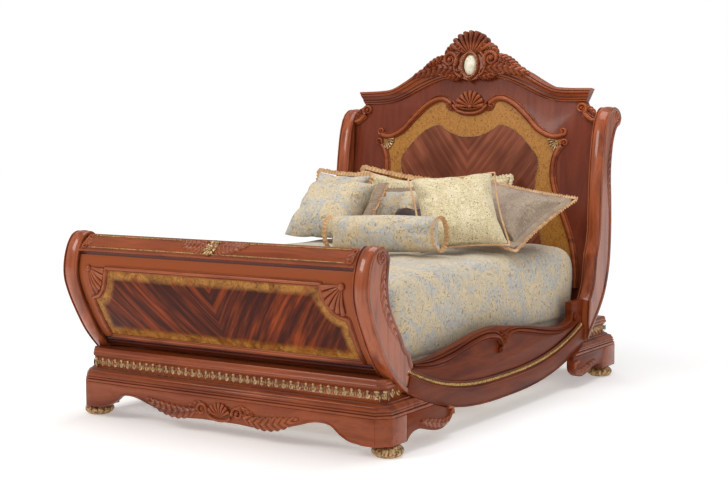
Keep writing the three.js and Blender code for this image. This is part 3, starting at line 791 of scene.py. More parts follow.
# %% Build the node tree for rows of beads
def row_tree():
    tree = bpy.data.node_groups.new("row_of_parts", "GeometryNodeTree")
    face = tree.interface
    face.new_socket("Geometry", in_out="INPUT", socket_type="NodeSocketGeometry")
    face.new_socket("Part", in_out="INPUT", socket_type="NodeSocketObject")
    face.new_socket("Pitch", in_out="INPUT", socket_type="NodeSocketFloat")
    face.new_socket("Finish", in_out="INPUT", socket_type="NodeSocketMaterial")
    face.new_socket("Geometry", in_out="OUTPUT", socket_type="NodeSocketGeometry")
    node, join = tree.nodes.new, tree.links.new
    source, result = node("NodeGroupInput"), node("NodeGroupOutput")
    curve, cut = node("GeometryNodeMeshToCurve"), node("GeometryNodeResampleCurve")
    cut.mode = "LENGTH"
    join(source.outputs["Geometry"], curve.inputs["Mesh"])
    join(curve.outputs["Curve"], cut.inputs["Curve"])
    join(source.outputs["Pitch"], cut.inputs["Length"])
    outward, along = (node("GeometryNodeInputNamedAttribute") for _ in range(2))
    for reader, name in ((outward, "outward"), (along, "along")):
        reader.data_type = "FLOAT_VECTOR"
        reader.inputs["Name"].default_value = name
    turn = node("FunctionNodeAxesToRotation")
    turn.primary_axis, turn.secondary_axis = "Z", "X"
    join(outward.outputs["Attribute"], turn.inputs["Primary Axis"])
    join(along.outputs["Attribute"], turn.inputs["Secondary Axis"])
    shape, spread = node("GeometryNodeObjectInfo"), node("GeometryNodeInstanceOnPoints")
    join(source.outputs["Part"], shape.inputs["Object"])
    join(cut.outputs["Curve"], spread.inputs["Points"])
    join(shape.outputs["Geometry"], spread.inputs["Instance"])
    join(turn.outputs["Rotation"], spread.inputs["Rotation"])
    real, paint = node("GeometryNodeRealizeInstances"), node("GeometryNodeSetMaterial")
    join(spread.outputs["Instances"], real.inputs["Geometry"])
    join(real.outputs["Geometry"], paint.inputs["Geometry"])
    join(source.outputs["Finish"], paint.inputs["Material"])
    join(paint.outputs["Geometry"], result.inputs["Geometry"])
    return tree


rows = row_tree()
row_sockets = {item.name: item.identifier for item in rows.interface.items_tree}


def row_of(name, paths, unit, pitch, finish):
    """Stand copies of a unit along ground paths. Each path is a ground and a flat line."""
    points, edges, outward, along = [], [], [], []
    for ground, line, height in paths:
        line = np.asarray(line, float)
        spot, above = lay(ground, line, height), lay(ground, line, height + 1)
        way = np.gradient(spot, axis=0)
        start = len(points)
        points += (spot * MM).tolist()
        outward += (above - spot).tolist()
        along += way.tolist()
        edges += [(start + k, start + k + 1) for k in range(len(line) - 1)]
    mesh = bpy.data.meshes.new(name)
    mesh.from_pydata(points, edges, [])
    for key, values in (("outward", outward), ("along", along)):
        data = mesh.attributes.new(key, "FLOAT_VECTOR", "POINT").data
        data.foreach_set("vector", np.array(values, dtype=np.float32).ravel())
    made = in_scene(name, mesh)
    modifier = made.modifiers.new("row", "NODES")
    modifier.node_group = rows
    modifier[row_sockets["Part"]] = unit
    modifier[row_sockets["Pitch"]] = pitch * MM
    modifier[row_sockets["Finish"]] = finish
    live_result(made)
    set_mesh(made.data, [], 50)
    settle(made, ())
    return made


def flat_ground(across, up, height):
    return np.stack([across, up, height], 1)


def unit_part(name, parts):
    """A part kept out of sight, for a row to copy. It is drawn lying flat, facing up."""
    mesh = joined_mesh(name, parts)
    mesh.shade_smooth()
    return bpy.data.objects.new(name, mesh)


def bead_unit(name, length, width, height, lean=0.0):
    """A bead, longer than wide for a rope, leaning along the row by a share of its width."""
    ring = np.linspace(0, 1, 4)[:, None] * np.ones((1, 9))
    turn = np.linspace(0, 2 * math.pi, 9)[None, :] * np.ones((4, 1))
    up = ring * np.sin(turn) * width / 2
    across = ring * np.cos(turn) * length / 2 + up * lean
    relief = height * np.sqrt(np.maximum(1 - ring**2, 0))
    return unit_part(name, [carving(flat_ground, across, up, relief, -1.0)])


rope_bead = bead_unit("rope_bead", 8.6, 6.6, 3.4, 0.5)
gadroon_bead = bead_unit("gadroon_bead", 13.0, 19.0, 8.5, 0.55)
pearl_bead = bead_unit("pearl_bead", 8.0, 8.0, 4.0)
print("row inputs:", sorted(row_sockets))

# %% [markdown]
# ## The side of the bed
# Seen from the side, each end is one long sweep that starts as a roll at the top, bellies
# out, and runs down into the bowed rail. These few points are the maker's full-size
# setting-out: a run in from the plinth face, and a height.

# %% Set out the side of the bed
foot_outer = [
    (60, 911), (10, 939), (-38, 930), (-76, 886), (-106, 800), (-109, 715), (-84, 637),
    (-42, 553), (26, 440), (97, 357), (155, 306), (214, 264),
]
foot_inner = [
    (268, 392), (240, 448), (209, 470), (172, 530), (112, 612), (72, 691), (60, 759),
    (66, 826), (76, 878),
]
head_outer = [
    (400, 243), (340, 298), (271, 360), (216, 414), (162, 480), (118, 565), (88, 660),
    (76, 760), (72, 900), (80, 1060), (90, 1180), (77, 1303), (50, 1388), (10, 1444), (-36, 1464),
]
head_roll = [(-36, 1464), (-55, 1507), (-34, 1545), (24, 1570), (85, 1567), (131, 1541)]
head_front = [
    (160, 1500), (184, 1435), (206, 1334), (228, 1170), (238, 1000), (242, 880), (262, 785),
    (292, 715), (304, 640), (320, 563), (345, 515), (376, 475),
]


def from_foot(points):
    return [(foot(run), z) for run, z in points]


def from_head(points):
    return [(head(run), z) for run, z in points]


rail_start, rail_end = foot(foot_outer[-1][0]), head(head_outer[0][0])
rail_low, rail_bow = corner("side_rail_right", 0, 2), 2.6


def along(share):
    return rail_start + (rail_end - rail_start) * share


def rail_bottom(share):
    joint = foot_outer[-1][1] if share < 0.5 else head_outer[0][1]
    return rail_low + (joint - rail_low) * abs(2 * share - 1) ** rail_bow


bottom_line = np.array([(along(t), rail_bottom(t)) for t in np.linspace(0, 1, 41)])


def beside(side, start):
    """The ground of a flat side face: across is along the bed, height is outward."""
    def ground(across, up, height):
        return np.stack([side * (start + height), across, up], 1)
    return ground


print("rail from", round(rail_start), "to", round(rail_end))

# %% [markdown]
# A stile is cut from thick stock and then moulded: its edge faces are crowned between two
# beads, and its sides are sunk inside a raised rim. Shrinking the outline by a set amount
# at each step of the thickness gives exactly that, all the way round the roll.

# %% Shape a crowned stile
crown_steps = [(44, 17), (44, 9), (42, 4.6), (39.5, 3), (37, 4.4), (35.5, 10)]
crown_steps += [(31, 7), (25, 4), (17, 1.6), (8, 0.3)]
rim_steps = [(37, 31), (37, 27), (39, 24), (42.5, 22)]
# Painted shade: the sunk steps at these insets are darkened.
shaded_insets = (10, 17, 24, 27)


def pulled_in(outline, inward, inset):
    """An outline moved inwards. Points that would cross at a corner join their neighbour."""
    spot = outline + inward * inset
    fine = evenly(np.vstack([outline, outline[:1]]), 420)
    room = np.sqrt(((spot[:, None] - fine[None]) ** 2).sum(2)).min(1)
    good = np.flatnonzero(room > inset * 0.97 - 0.6)
    apart = np.abs(np.arange(len(spot))[:, None] - good[None])
    apart = np.minimum(apart, len(spot) - apart)
    return spot[good[apart.argmin(1)]]


def crowned(outline, middle, side):
    """A thick plate whose outline pulls in by an inset at each step away from its middle."""
    outline = np.asarray(outline, float)
    inward = squares(outline, closed=True) * (1 if signed_area(outline) > 0 else -1)
    near = rim_steps + crown_steps
    steps = near + [(0, 0)] + [(-h, inset) for h, inset in reversed(near)]
    rings = []
    for height, inset in steps:
        rings.append(lay(beside(side, middle), pulled_in(outline, inward, inset), height))
    count = len(outline)
    # Painted shade in the sunk steps of the rim and crown.
    glaze = np.repeat([0.75 if inset in shaded_insets else 0 for _, inset in steps], count)
    return Part(np.vstack(rings), tube_faces(len(steps), count), glaze)


def cut_at_joint(made, first, second):
    """Saw a piece off along the line of its joint, in side view, and close the end."""
    (y0, z0), (y1, z1) = first, second
    shape = bmesh.new()
    shape.from_mesh(made.data)
    cut = bmesh.ops.bisect_plane(
        shape, geom=[*shape.verts, *shape.edges, *shape.faces],
        plane_co=(0, y0 * MM, z0 * MM), plane_no=(0, z1 - z0, y0 - y1), clear_outer=True,
    )
    rim = [item for item in cut["geom_cut"] if isinstance(item, bmesh.types.BMEdge)]
    bmesh.ops.edgeloop_fill(shape, edges=rim)
    bmesh.ops.recalc_face_normals(shape, faces=shape.faces)
    shape.to_mesh(made.data)
    shape.free()


stile_half = (foot_stile_outer - foot_stile_inner) / 2
foot_stile_line = from_foot(
    [*smooth([*foot_outer, (262, 236)], 6), *smooth([(318, 362), *foot_inner], 6)]
)
foot_side_leaf = from_foot([(36, 862), (18, 790), (22, 712), (58, 630), (104, 566), (150, 508)])
for side, hand in ((-1, "left"), (1, "right")):
    middle = foot_stile_inner + stile_half
    face = beside(side, middle + 36)
    parts = [crowned(foot_stile_line, middle, side)]
    parts += scroll(face, (foot(8), 888), 38, 1.6, 60, 1, 13, 9)
    parts.append(leaf(face, foot_side_leaf, 54, 9, 8.5))
    made = gather(f"foot_stile_carved_{hand}", parts, mahogany_z, [f"foot_stile_{hand}"])
    cut_at_joint(made, from_foot([(214, 264)])[0], from_foot([(268, 392)])[0])
print("foot stiles carved")

# %% Shape the headboard stiles
def clip_line(line, low, high):
    """The stretch of a line between two heights, with its ends exactly on them."""
    line = np.asarray(line, float)
    if line[0, 1] > line[-1, 1]:
        line = line[::-1]
    inside = line[(line[:, 1] > low) & (line[:, 1] < high)]
    ends = []
    for z in (low, high):
        if line[0, 1] < z < line[-1, 1]:
            ends.append(np.array([[np.interp(z, line[:, 1], line[:, 0]), z]]))
        else:
            ends.append(np.zeros((0, 2)))
    return np.vstack([ends[0], inside, ends[1]])


head_back_line = np.array(from_head(smooth(head_outer, 6)))
head_front_line = np.array(from_head(smooth(head_front, 6)))
head_roll_line = np.array(from_head(smooth(head_roll, 6)))[1:]
head_stile_line = np.vstack([
    [(head(436), 214)], clip_line(head_back_line, 243, 1464), head_roll_line,
    head_front_line[:1], clip_line(head_front_line, 475, 1500)[::-1], [(head(410), 452)],
])
back_leaf = from_head([(38, 1440), (76, 1368), (106, 1280), (116, 1180), (108, 1060), (100, 960)])
for side, hand in ((-1, "left"), (1, "right")):
    middle = head_stile_inner + stile_half
    face = beside(side, middle + 36)
    parts = [crowned(head_stile_line, middle, side)]
    parts += scroll(face, (head(-4), 1512), 42, 1.7, 250, 1, 15, 9)
    parts.append(leaf(face, back_leaf, 42, 12, 8))
    upper = gather(
        f"head_upper_stile_carved_{hand}", parts, mahogany_z, [f"head_upper_stile_{hand}"]
    )
    cut_at_joint(upper, (head(400), stile_seam + 0.3), (head(0), stile_seam + 0.3))
    lower = gather(
        f"head_lower_stile_carved_{hand}",
        [crowned(head_stile_line, middle, side)], mahogany_z, [f"head_lower_stile_{hand}"],
    )
    cut_at_joint(lower, (head(0), stile_seam), (head(400), stile_seam))
    cut_at_joint(lower, (head(376), 475), (head(400), 243))
print("head stiles carved")

# %% [markdown]
# ## The footboard
# The footboard is one bellied panel. Its middle is crotch veneer, book-matched on the
# centre line, with a burl border inside a raised moulding whose corners are scooped out
# round carved quarter fans. The panel's ground follows the belly: its up is plain height.

# %% Veneer the bellied panel
belly = smooth(foot_outer, 8)
belly = belly[(belly[:, 1] < 900) & (belly[:, 1] > 290)]
panel_inset = 28
panel_face = (belly + squares(belly) * panel_inset)[::-1]
panel_out = -squares(belly)[::-1]


def on_belly(across, up, height):
    run = np.interp(up, panel_face[:, 1], panel_face[:, 0])
    out = np.stack([np.interp(up, panel_face[:, 1], panel_out[:, k]) for k in (0, 1)], 1)
    out = out / np.linalg.norm(out, axis=1, keepdims=True)
    return np.stack([across, foot(run) + out[:, 0] * height, up + out[:, 1] * height], 1)


panel_half = foot_stile_inner
frame_side, frame_top, frame_low = 752, 768, 408
scoop = 120


def scooped_frame(steps=9):
    """The right half of the moulded frame's line: a rectangle with its upper corner
    scooped out."""
    side, top, low, radius = frame_side, frame_top, frame_low, scoop
    turn = np.linspace(0, math.pi / 2, steps)
    right = [(side - radius * math.sin(a), top - radius * math.cos(a) * 1.25) for a in turn]
    return [(0, low), (side, low), *right, (0, top)]


def distance_to_line(points, line):
    line = evenly(line, 220)
    return np.sqrt(((points[:, None, :] - line[None, :, :]) ** 2).sum(2)).min(1)


panel_top, panel_thickness = 842, 30
wide, tall = np.meshgrid(np.linspace(-panel_half, panel_half, 201),
                         np.linspace(plinth_top + 0.3, panel_top, 74))
panel_part = carving(on_belly, wide, tall, np.zeros_like(wide), -panel_thickness, 0.0)
half_frame = np.array(scooped_frame(), float)
foot_panel = gather(
    "foot_panel_veneer", [panel_part], flame_veneer, ["foot_panel"]
)
flat = np.array([(abs(v.co.x) / MM, v.co.z / MM) for v in foot_panel.data.vertices])
away = distance_to_line(flat, half_frame)
inside = (flat[:, 0] < frame_side) & (flat[:, 1] < frame_top) & (flat[:, 1] > frame_low)
inside &= ~((flat[:, 0] > frame_side - scoop) & (flat[:, 1] > frame_top - scoop * 1.25)
            & ((flat[:, 0] - frame_side) ** 2 + ((flat[:, 1] - frame_top) / 1.25) ** 2
               < scoop**2))
burl_width = 62
fade = np.clip((burl_width - away) / 26, 0, 1)
for name, values in (("burl", fade * inside), ("plain", 1.0 - inside)):
    layer = foot_panel.data.attributes.new(name, "FLOAT", "POINT")
    layer.data.foreach_set("value", values.astype(np.float32))
print("share of the panel inside the frame:", round(float(inside.mean()), 2))

# %% Mould the frame and carve the corner fans
def foot_frame_parts():
    parts = both(sweep(on_belly, evenly(half_frame, 150), double_reed(26, 11)))
    fan_centre = (frame_side - 4, frame_top + 2)
    for fan in (shell(on_belly, fan_centre, 104, 6, 180, 270, 15, 0.1, tall=1.2),
                boss(on_belly, (fan_centre[0] - 6, fan_centre[1] - 8), 18, 17)):
        parts += both(fan)
    return parts


gather("foot_panel_moulding", foot_frame_parts(), carved_wood)
lower_step = [(-16, 0), (-15, 9), (-9, 13), (-3, 11), (-1, 6), (4, 5), (8, 7), (13, 4), (15, 0),
              (15, -2), (-16, -2)]
ledge_line = np.array([(-panel_half, 386), (0, 386), (panel_half, 386)], float)
upper_line = np.array([(-panel_half, 838), (0, 838), (panel_half, 838)], float)
gather(
    "foot_panel_steps",
    [sweep(on_belly, ledge_line, lower_step),
     sweep(on_belly, upper_line, [(-9, 0), (-9, 3), (-3, 8), (2, 14), (4, 14), (4, -2)])],
    dark_wood,
)
print("foot frame moulded")

# %% [markdown]
# The crest board lies on top of the panel like a sloping shelf edge. Two gilt ropes run
# along it, with small carved scrolls at the ends and a gilt rosette between two leaves in
# the middle.

# %% Make the crest board
crest_back = [(-6, 923), (30, 922), (50, 908), (57, 880), (44, 842.3)]


def crest_section(points):
    line = np.array(from_foot(points), float)
    ends = [np.column_stack([np.full(len(line), x), line]) for x in (-panel_half, panel_half)]
    return Part(np.vstack(ends), tube_faces(2, len(line), inside_out=True))


crest_lip = [(-70, 842.3), (-80, 842.8), (-87, 847), (-88, 852), (-84, 856), (-78, 857)]
crest_slope = [(-78, 861), (-68, 872), (-52, 888), (-34, 902), (-18, 913), (-12, 920)]
gather(
    "foot_crest_board_moulded",
    [crest_section([*crest_lip, *smooth(crest_slope, 3), *crest_back])],
    mahogany_x, ["foot_crest_board"],
)


def on_crest(across, up, height):
    line = smooth(crest_slope, 4)
    out = -squares(line[::-1])[::-1]
    run = np.interp(up, line[:, 1], line[:, 0])
    lift = np.stack([np.interp(up, line[:, 1], out[:, k]) for k in (0, 1)], 1)
    lift = np.where(lift[:, :1] > 0, -lift, lift)
    return np.stack([across, foot(run) + lift[:, 0] * height, up + lift[:, 1] * height], 1)


probe = on_crest(np.zeros(2), np.array([888.0, 888.0]), np.array([0.0, 10.0]))
print("crest ground rises", np.round(probe[1] - probe[0], 1))
rope_reach = 745
row_of(
    "foot_crest_ropes",
    [(on_crest, [(-rope_reach, 865), (rope_reach, 865)], 0),
     (on_crest, [(-rope_reach, 917), (rope_reach, 917)], 0)],
    rope_bead, 9.6, gilt,
)
corner_parts = []
corner_parts += both(scroll(on_crest, (776, 872), 18, 1.35, 100, -1, 10, 8)[0])
corner_parts += both(scroll(on_crest, (776, 905), 15, 1.35, 260, 1, 9, 8)[0])
corner_parts += both(leaf(on_crest, [(796, 902), (776, 890), (744, 884)], 36, 4, 8))
gather("foot_crest_scrolls", corner_parts, carved_wood)

mount_parts = both(leaf(on_crest, [(22, 892), (80, 899), (140, 898), (196, 910)], 50, 7, 12))
mount_parts += both(leaf(on_crest, [(22, 880), (62, 874), (104, 880), (136, 876)], 28, 5, 9))
mount_parts += both(scroll(on_crest, (58, 900), 17, 1.3, 0, 1, 10, 13)[0])
gather("foot_cartouche_leaves", mount_parts, carved_wood)
rosette = [boss(on_crest, (0, 889), 13, 18)]
rosette += [shell(on_crest, (0, 889), 31, 10, 0, 359.5, 12, 0.2)]
gather("foot_cartouche_rosette", rosette, old_gilt, ["foot_cartouche"])
print("crest board dressed")

# %% [markdown]
# ## The plinths
# Each end stands on a plinth: an apron between bracket feet, and two stacked mouldings that
# return round three sides. A moulding is drawn as its outline from above at each height of
# its profile, pulled in by that profile. The foot plinth's corners are clipped.

# %% Run the plinth mouldings round three sides
clip_size = 59


def swept_run(joint, z):
    share = ((z - rail_low) / (joint[1] - rail_low)) ** (1 / rail_bow)
    return joint[0] + (rail_end - rail_start) * (1 - min(share, 1)) / 2


def outline_from_above(place, clip, side_return, deep, side_deep, inset):
    ease = (math.sqrt(2) - 1) * inset if clip else inset
    right = [(plinth_half - clip - ease, inset)]
    if clip:
        right.append((plinth_half - inset, clip + ease))
    right += [(plinth_half - inset, side_return), (plinth_half - side_deep, side_return),
              (plinth_half - side_deep, deep)]
    line = right + [(-x, run) for x, run in reversed(right)]
    return [(x, place(run)) for x, run in line]


def moulding_part(place, clip, joint, levels, deep, side_deep):
    side_return = swept_run(joint, levels[0][0]) + 30
    rings = []
    for z, inset in levels:
        line = outline_from_above(place, clip, side_return, deep, side_deep, inset)
        rings.append([(x, y, z) for x, y in line])
    count = len(rings[0])
    faces = tube_faces(len(levels), count)
    # Painted shade: a dark line at the foot of each step that cuts in sharply.
    shaded_steps = [0.8 if later > inset + 3 and z - low < 4 else 0 for (low, inset), (z, later)
                  in zip(levels, levels[1:])] + [0]
    return Part(np.array(rings).reshape(-1, 3), faces, np.repeat(shaded_steps, count))


belt_steps = [
    (0, 4), (2, 2), (12, 2), (14, 5), (15, 9), (18, 6), (22, 5), (26, 6), (29, 10), (32, 10),
    (35, 8), (39, 9), (43, 13), (46, 16), (48, 15), (52, 17), (56, 22), (60, 30),
]
cap_steps = [
    (0, 34), (5, 34), (8, 40), (13, 48), (22, 53), (34, 56), (46, 56), (54, 51), (59, 46),
    (62, 47), (64, 42), (69, 40), (75, 41), (79, 44), (82, 43), (88, 44), (94, 46), (100, 49),
]


def side_cutters():
    """Boxes shaped to the swept edge of the bed's sides, to trim the mouldings clear."""
    line = np.vstack([from_foot(smooth(foot_outer, 5)), bottom_line[1:-1],
                      from_head(smooth(head_outer, 5))])
    line = line + squares(line) * -0.4
    outline = np.vstack([line, [(head(-36), 1700), (foot(60), 1700)]])
    cutters = []
    for side in (-1, 1):
        part = plate(beside(side, foot_stile_inner - 0.3), outline, 0, 120)
        mesh = bpy.data.meshes.new("side_cutter")
        mesh.from_pydata((part.points * MM).tolist(), [], part.faces)
        shape = bmesh.new()
        shape.from_mesh(mesh)
        bmesh.ops.recalc_face_normals(shape, faces=shape.faces)
        shape.to_mesh(mesh)
        shape.free()
        cutters.append(in_scene("side_cutter", mesh))
    return cutters


cutters = side_cutters()


def trimmed(made):
    for cutter in cutters:
        trim = made.modifiers.new("trim", "BOOLEAN")
        trim.operation, trim.solver, trim.object = "DIFFERENCE", "EXACT", cutter
    live_result(made)
    set_mesh(made.data, [], 34)
    return made


ends = [("foot", foot, clip_size, foot_outer[-1]), ("head", head, 0, head_outer[0])]
cap_depth = {"foot": 190, "head": 246}
for end, place, clip, joint in ends:
    belt = [(apron_top + 0.3 + rise, inset) for rise, inset in belt_steps]
    cap = [(belt_top + 0.3 + rise * (plinth_top - belt_top) / 100.3, inset)
           for rise, inset in cap_steps]
    cap[-1] = (plinth_top, cap[-1][1])
    trimmed(gather(f"{end}_belt_reeded", [moulding_part(place, clip, joint, belt, 70, 95)],
                   mahogany_x, [f"{end}_belt_moulding"]))
    trimmed(gather(f"{end}_cap_moulded",
                   [moulding_part(place, clip, joint, cap, cap_depth[end], 125)],
                   mahogany_x, [f"{end}_cap_moulding"]))
for cutter in cutters:
    bpy.data.objects.remove(cutter)
print("plinth mouldings run")

# %% [markdown]
# A row of little gilt leaves stands in the hollow of the cap moulding, each with a bright
# rounded tip. Their row follows the front, the clipped corners and the side returns.

# %% Stand the gilt leaves in the frieze
def frieze_leaf():
    stem = leaf(flat_ground, [(0, -24), (0, -8), (0, 14)], 34, 2, 7, rows=9)
    tip = boss(flat_ground, (0, 17), 9, 9)
    thin = leaf(flat_ground, [(20, -24), (20, -6), (20, 12)], 9, 1, 4, rows=6)
    return unit_part("frieze_leaf", [stem, tip, thin])


def upright_ring(place, clip, inset, side_return, z):
    """Ground points round a plinth as a ready line, with its outward directions."""
    ease = (math.sqrt(2) - 1) * inset if clip else inset
    right = [(plinth_half - clip - ease, inset)]
    if clip:
        right.append((plinth_half - inset, clip + ease))
    right.append((plinth_half - inset, side_return))
    line = np.array([(-x, run) for x, run in reversed(right)] + right, float)
    stretches = []
    for a, b in zip(line, line[1:]):
        way = b - a
        out = np.array([way[1], -way[0]]) / np.linalg.norm(way)
        ease_in = way / np.linalg.norm(way) * 4
        start, stop = a + ease_in, b - ease_in

        def ground(across, up, height, start=start, way=stop - start, out=out):
            size = np.linalg.norm(way)
            spot = start + way / size * np.asarray(across)[:, None]
            spot = spot + out * np.asarray(height)[:, None]
            return np.stack([spot[:, 0], [place(r) for r in spot[:, 1]], up], 1)

        stretches.append((ground, [(0, z), (np.linalg.norm(stop - start), z)], 0))
    return stretches


leaf_unit = frieze_leaf()
for end, place, clip, joint in ends:
    reach = swept_run(joint, 300) - 18
    row_of(f"{end}_frieze_leaves", upright_ring(place, clip, 56, reach, 272),
           leaf_unit, 41, old_gilt)
print("frieze leaves stand 41 mm apart")

# %% [markdown]
# The aprons and bracket feet are boards sawn to a scalloped edge. The front apron carries a
# shell in its belly, two scrolls, and long leaves that run out to the arches.

# %% Finish the aprons and brackets
for end in ("foot", "head"):
    eased_copy(f"{end}_apron", mahogany_x, 2.5, name=f"{end}_apron_board")
    for hand in ("left", "right"):
        eased_copy(f"{end}_corner_{hand}", mahogany_x, 2.5, name=f"{end}_bracket_{hand}")
        eased_copy(f"{end}_wing_{hand}", mahogany_y_shaded, 2.5, name=f"{end}_bracket_wing_{hand}")


def on_foot_apron(across, up, height):
    return np.stack([across, foot(-height), up], 1)


apron_leaf = [(128, 112), (190, 97), (262, 92), (330, 100), (396, 116), (452, 138)]
apron_parts = [shell(on_foot_apron, (0, 90), 68, 7, 20, 160, 17, 0.1)]
apron_parts += [sweep(on_foot_apron, smooth([(-66, 96), (-40, 82), (0, 77), (40, 82), (66, 96)]),
                      reed(15, 13))]
apron_parts += both(leaf(on_foot_apron, apron_leaf, 74, 9, 16))
apron_parts += both(scroll(on_foot_apron, (108, 120), 34, 1.4, 200, -1, 17, 16)[0])
apron_parts += both(boss(on_foot_apron, (104, 122), 10, 16))
apron_parts += both(leaf(on_foot_apron, [(92, 148), (128, 152), (170, 136), (204, 122)], 26, 4, 11))
gather("foot_apron_carving", apron_parts, carved_wood)

edge_line = smooth([(452, 112), (500, 130), (540, 138), (590, 138), (636, 124), (672, 96),
                    (716, 72), (770, 63)])
gather("foot_apron_bead", both(sweep(on_foot_apron, edge_line, reed(7, 3.5))), mahogany_x)
for end, place in (("foot", foot), ("head", head)):
    parts = []
    for side in (-1, 1):
        ground = beside(side, plinth_half)
        spine = [(place(run), z) for run, z in
                 [(300, 126), (370, 108), (440, 92), (510, 84), (572, 102), (588, 138)]]
        parts.append(leaf(ground, spine, 46, 8, 12))
        tip = [(place(run), z) for run, z in [(540, 150), (584, 140), (592, 112)]]
        parts.append(sweep(ground, smooth(tip), reed(16, 14)))
    gather(f"{end}_wing_leaves", parts, carved_wood)


def lobed_bun(centre_x, centre_y, lobes=13):
    turn = np.linspace(0, 2 * math.pi, lobes * 6 + 1)[None, :]
    rise = np.linspace(0, 1, 12)[:, None]
    lobe = 0.93 + 0.07 * np.abs(np.sin(turn * lobes / 2)) ** 0.5
    swell = np.sin(math.pi * (0.2 + 0.62 * rise)) ** 0.7
    reach = 74 * swell * (1 - (1 - lobe) * np.sin(math.pi * np.clip(rise * 1.05, 0, 1)))
    points = np.stack([
        centre_x + reach * np.cos(turn), centre_y + reach * np.sin(turn),
        bun_height * rise * np.ones_like(turn),
    ], 2)[:, :-1]
    # Painted shade in the grooves between the lobes, most at mid height.
    glaze = (np.abs(np.sin(turn * lobes / 2)) < 0.35)[:, :-1] * np.sin(math.pi * rise)
    return Part(points.reshape(-1, 3), tube_faces(*points.shape[:2]), (glaze * 0.9).ravel())


for end in ("foot", "head"):
    for hand in ("left", "right"):
        low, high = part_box(f"{end}_bun_{hand}")
        middle = [(a + b) / 2 / MM for a, b in zip(low, high)]
        gather(f"{end}_bun_lobed_{hand}", [lobed_bun(*middle[:2])], old_gilt,
               [f"{end}_bun_{hand}"])
print("buns and brackets finished")

# %% [markdown]
# ## The side rails
# A rail is a bowed board with a veneered band along its lower edge. Above the band runs a
# gadroon, a row of slanted gilt lobes, and over it two S-shaped mouldings that meet in a
# carved drop.

# %% Finish the rails
board_face = rail_crest_inner - 0.3
foot_s_upper = [(0.035, 386), (0.13, 380), (0.24, 402), (0.35, 438), (0.42, 444),
                (0.465, 426), (0.486, 396), (0.489, 366)]
foot_s_lower = [(0.035, 372), (0.09, 348), (0.17, 336), (0.25, 360), (0.35, 392),
                (0.42, 396), (0.462, 382), (0.478, 356)]
head_s_upper = [(0.492, 366), (0.497, 396), (0.52, 420), (0.57, 424), (0.64, 408),
                (0.74, 374), (0.83, 350), (0.9, 352), (0.955, 378)]
head_s_lower = [(0.502, 356), (0.508, 372), (0.53, 390), (0.57, 394), (0.64, 372),
                (0.74, 338), (0.83, 322), (0.9, 332), (0.955, 366)]
s_section = [
    (0, -1), (0, 10), (0.03, 14), (0.09, 15), (0.15, 13), (0.19, 8),
    (0.26, 15), (0.36, 21), (0.48, 24), (0.6, 21), (0.68, 15), (0.73, 9),
    (0.78, 11), (0.86, 12), (0.93, 10), (1, 4), (1, -1),
]
# Painted shade in the hollows of the S mouldings' profile.
s_shade = [0, 0, 0, 0, 0.2, 0.9, 0.1, 0, 0, 0, 0.2, 0.9, 0.2, 0, 0, 0.6, 1]


def along_rail(points):
    return smooth([(along(t), z) for t, z in points], 7)


for side, hand in ((-1, "left"), (1, "right")):
    eased_copy(f"side_rail_{hand}", mahogany_y_shaded, 3, name=f"side_rail_veneered_{hand}")
    ground = beside(side, board_face)
    parts = [ruled(ground, along_rail(upper), along_rail(lower), s_section, s_shade)
             for upper, lower in ((foot_s_upper, foot_s_lower), (head_s_upper, head_s_lower))]
    drop = [(along(0.49), 372), (along(0.492), 350), (along(0.486), 330)]
    parts.append(sweep(ground, smooth(drop), reed(34, 23), np.linspace(1, 0.62, 11)))
    parts += scroll(ground, (along(0.481), 330), 17, 1.2, 60, 1, 12, 20)
    parts.append(leaf(ground, [(along(0.49), 430), (along(0.49), 400), (along(0.489), 352)],
                      46, 4, 24, curl=0.35))
    parts += scroll(ground, (along(0.955), 392), 26, 1.4, 250, -1, 13, 19)
    parts += scroll(ground, (along(0.03), 372), 22, 1.3, 20, 1, 11, 19)
    gather(f"rail_crest_carved_{hand}", parts, mahogany_y_shaded, [f"rail_crest_{hand}"])
    shares = np.linspace(0.012, 0.985, 90)
    lip = np.array([(along(t), rail_bottom(t) + 96) for t in shares])
    cove = [(-9, 22), (-7, 24.5), (-3, 25), (0, 23), (2, 17), (8, 12), (18, 9), (25, 12), (29, 11),
            (31, 5), (31, -1), (-9, -1)]
    gather(f"rail_cove_{hand}", [sweep(ground, lip, cove)], mahogany_y_shaded)
    lower_bead = np.array([(along(t), rail_bottom(t) + 7) for t in shares])
    band_face = beside(side, rail_outer)
    gather(f"rail_lower_bead_{hand}", [sweep(band_face, lower_bead, reed(8, 2.5))], mahogany_y_shaded)
    rope_line = [(y, z + 13) for y, z in lip]
    row_of(f"rail_gadroon_{hand}", [(ground, rope_line, 9)], gadroon_bead, 15.5, gilt)
print("rails finished")

# %% [markdown]
# ## The headboard
# The tall board leans back by one part in ten, so it gets a ground of its own: across and
# up are measured on its leaning face, and height stands out from that face. Its outer field
# is plain mahogany, its middle is feathered veneer, and golden burl lies between them.

# %% Set out the leaning board
board_lean = math.atan(0.1)
board_foot_run = 236


def on_board(across, up, height):
    rise = (up - plinth_top) / math.cos(board_lean)
    return np.stack([
        across,
        head(board_foot_run) + rise * math.sin(board_lean) - height * math.cos(board_lean),
        plinth_top + rise * math.cos(board_lean) + height * math.sin(board_lean),
    ], 1)


def whole_line(right):
    """Both halves of a line, from its right half, which starts on the centre line."""
    right = np.asarray(right, float)
    return np.vstack([right[:0:-1] * (-1, 1), right])


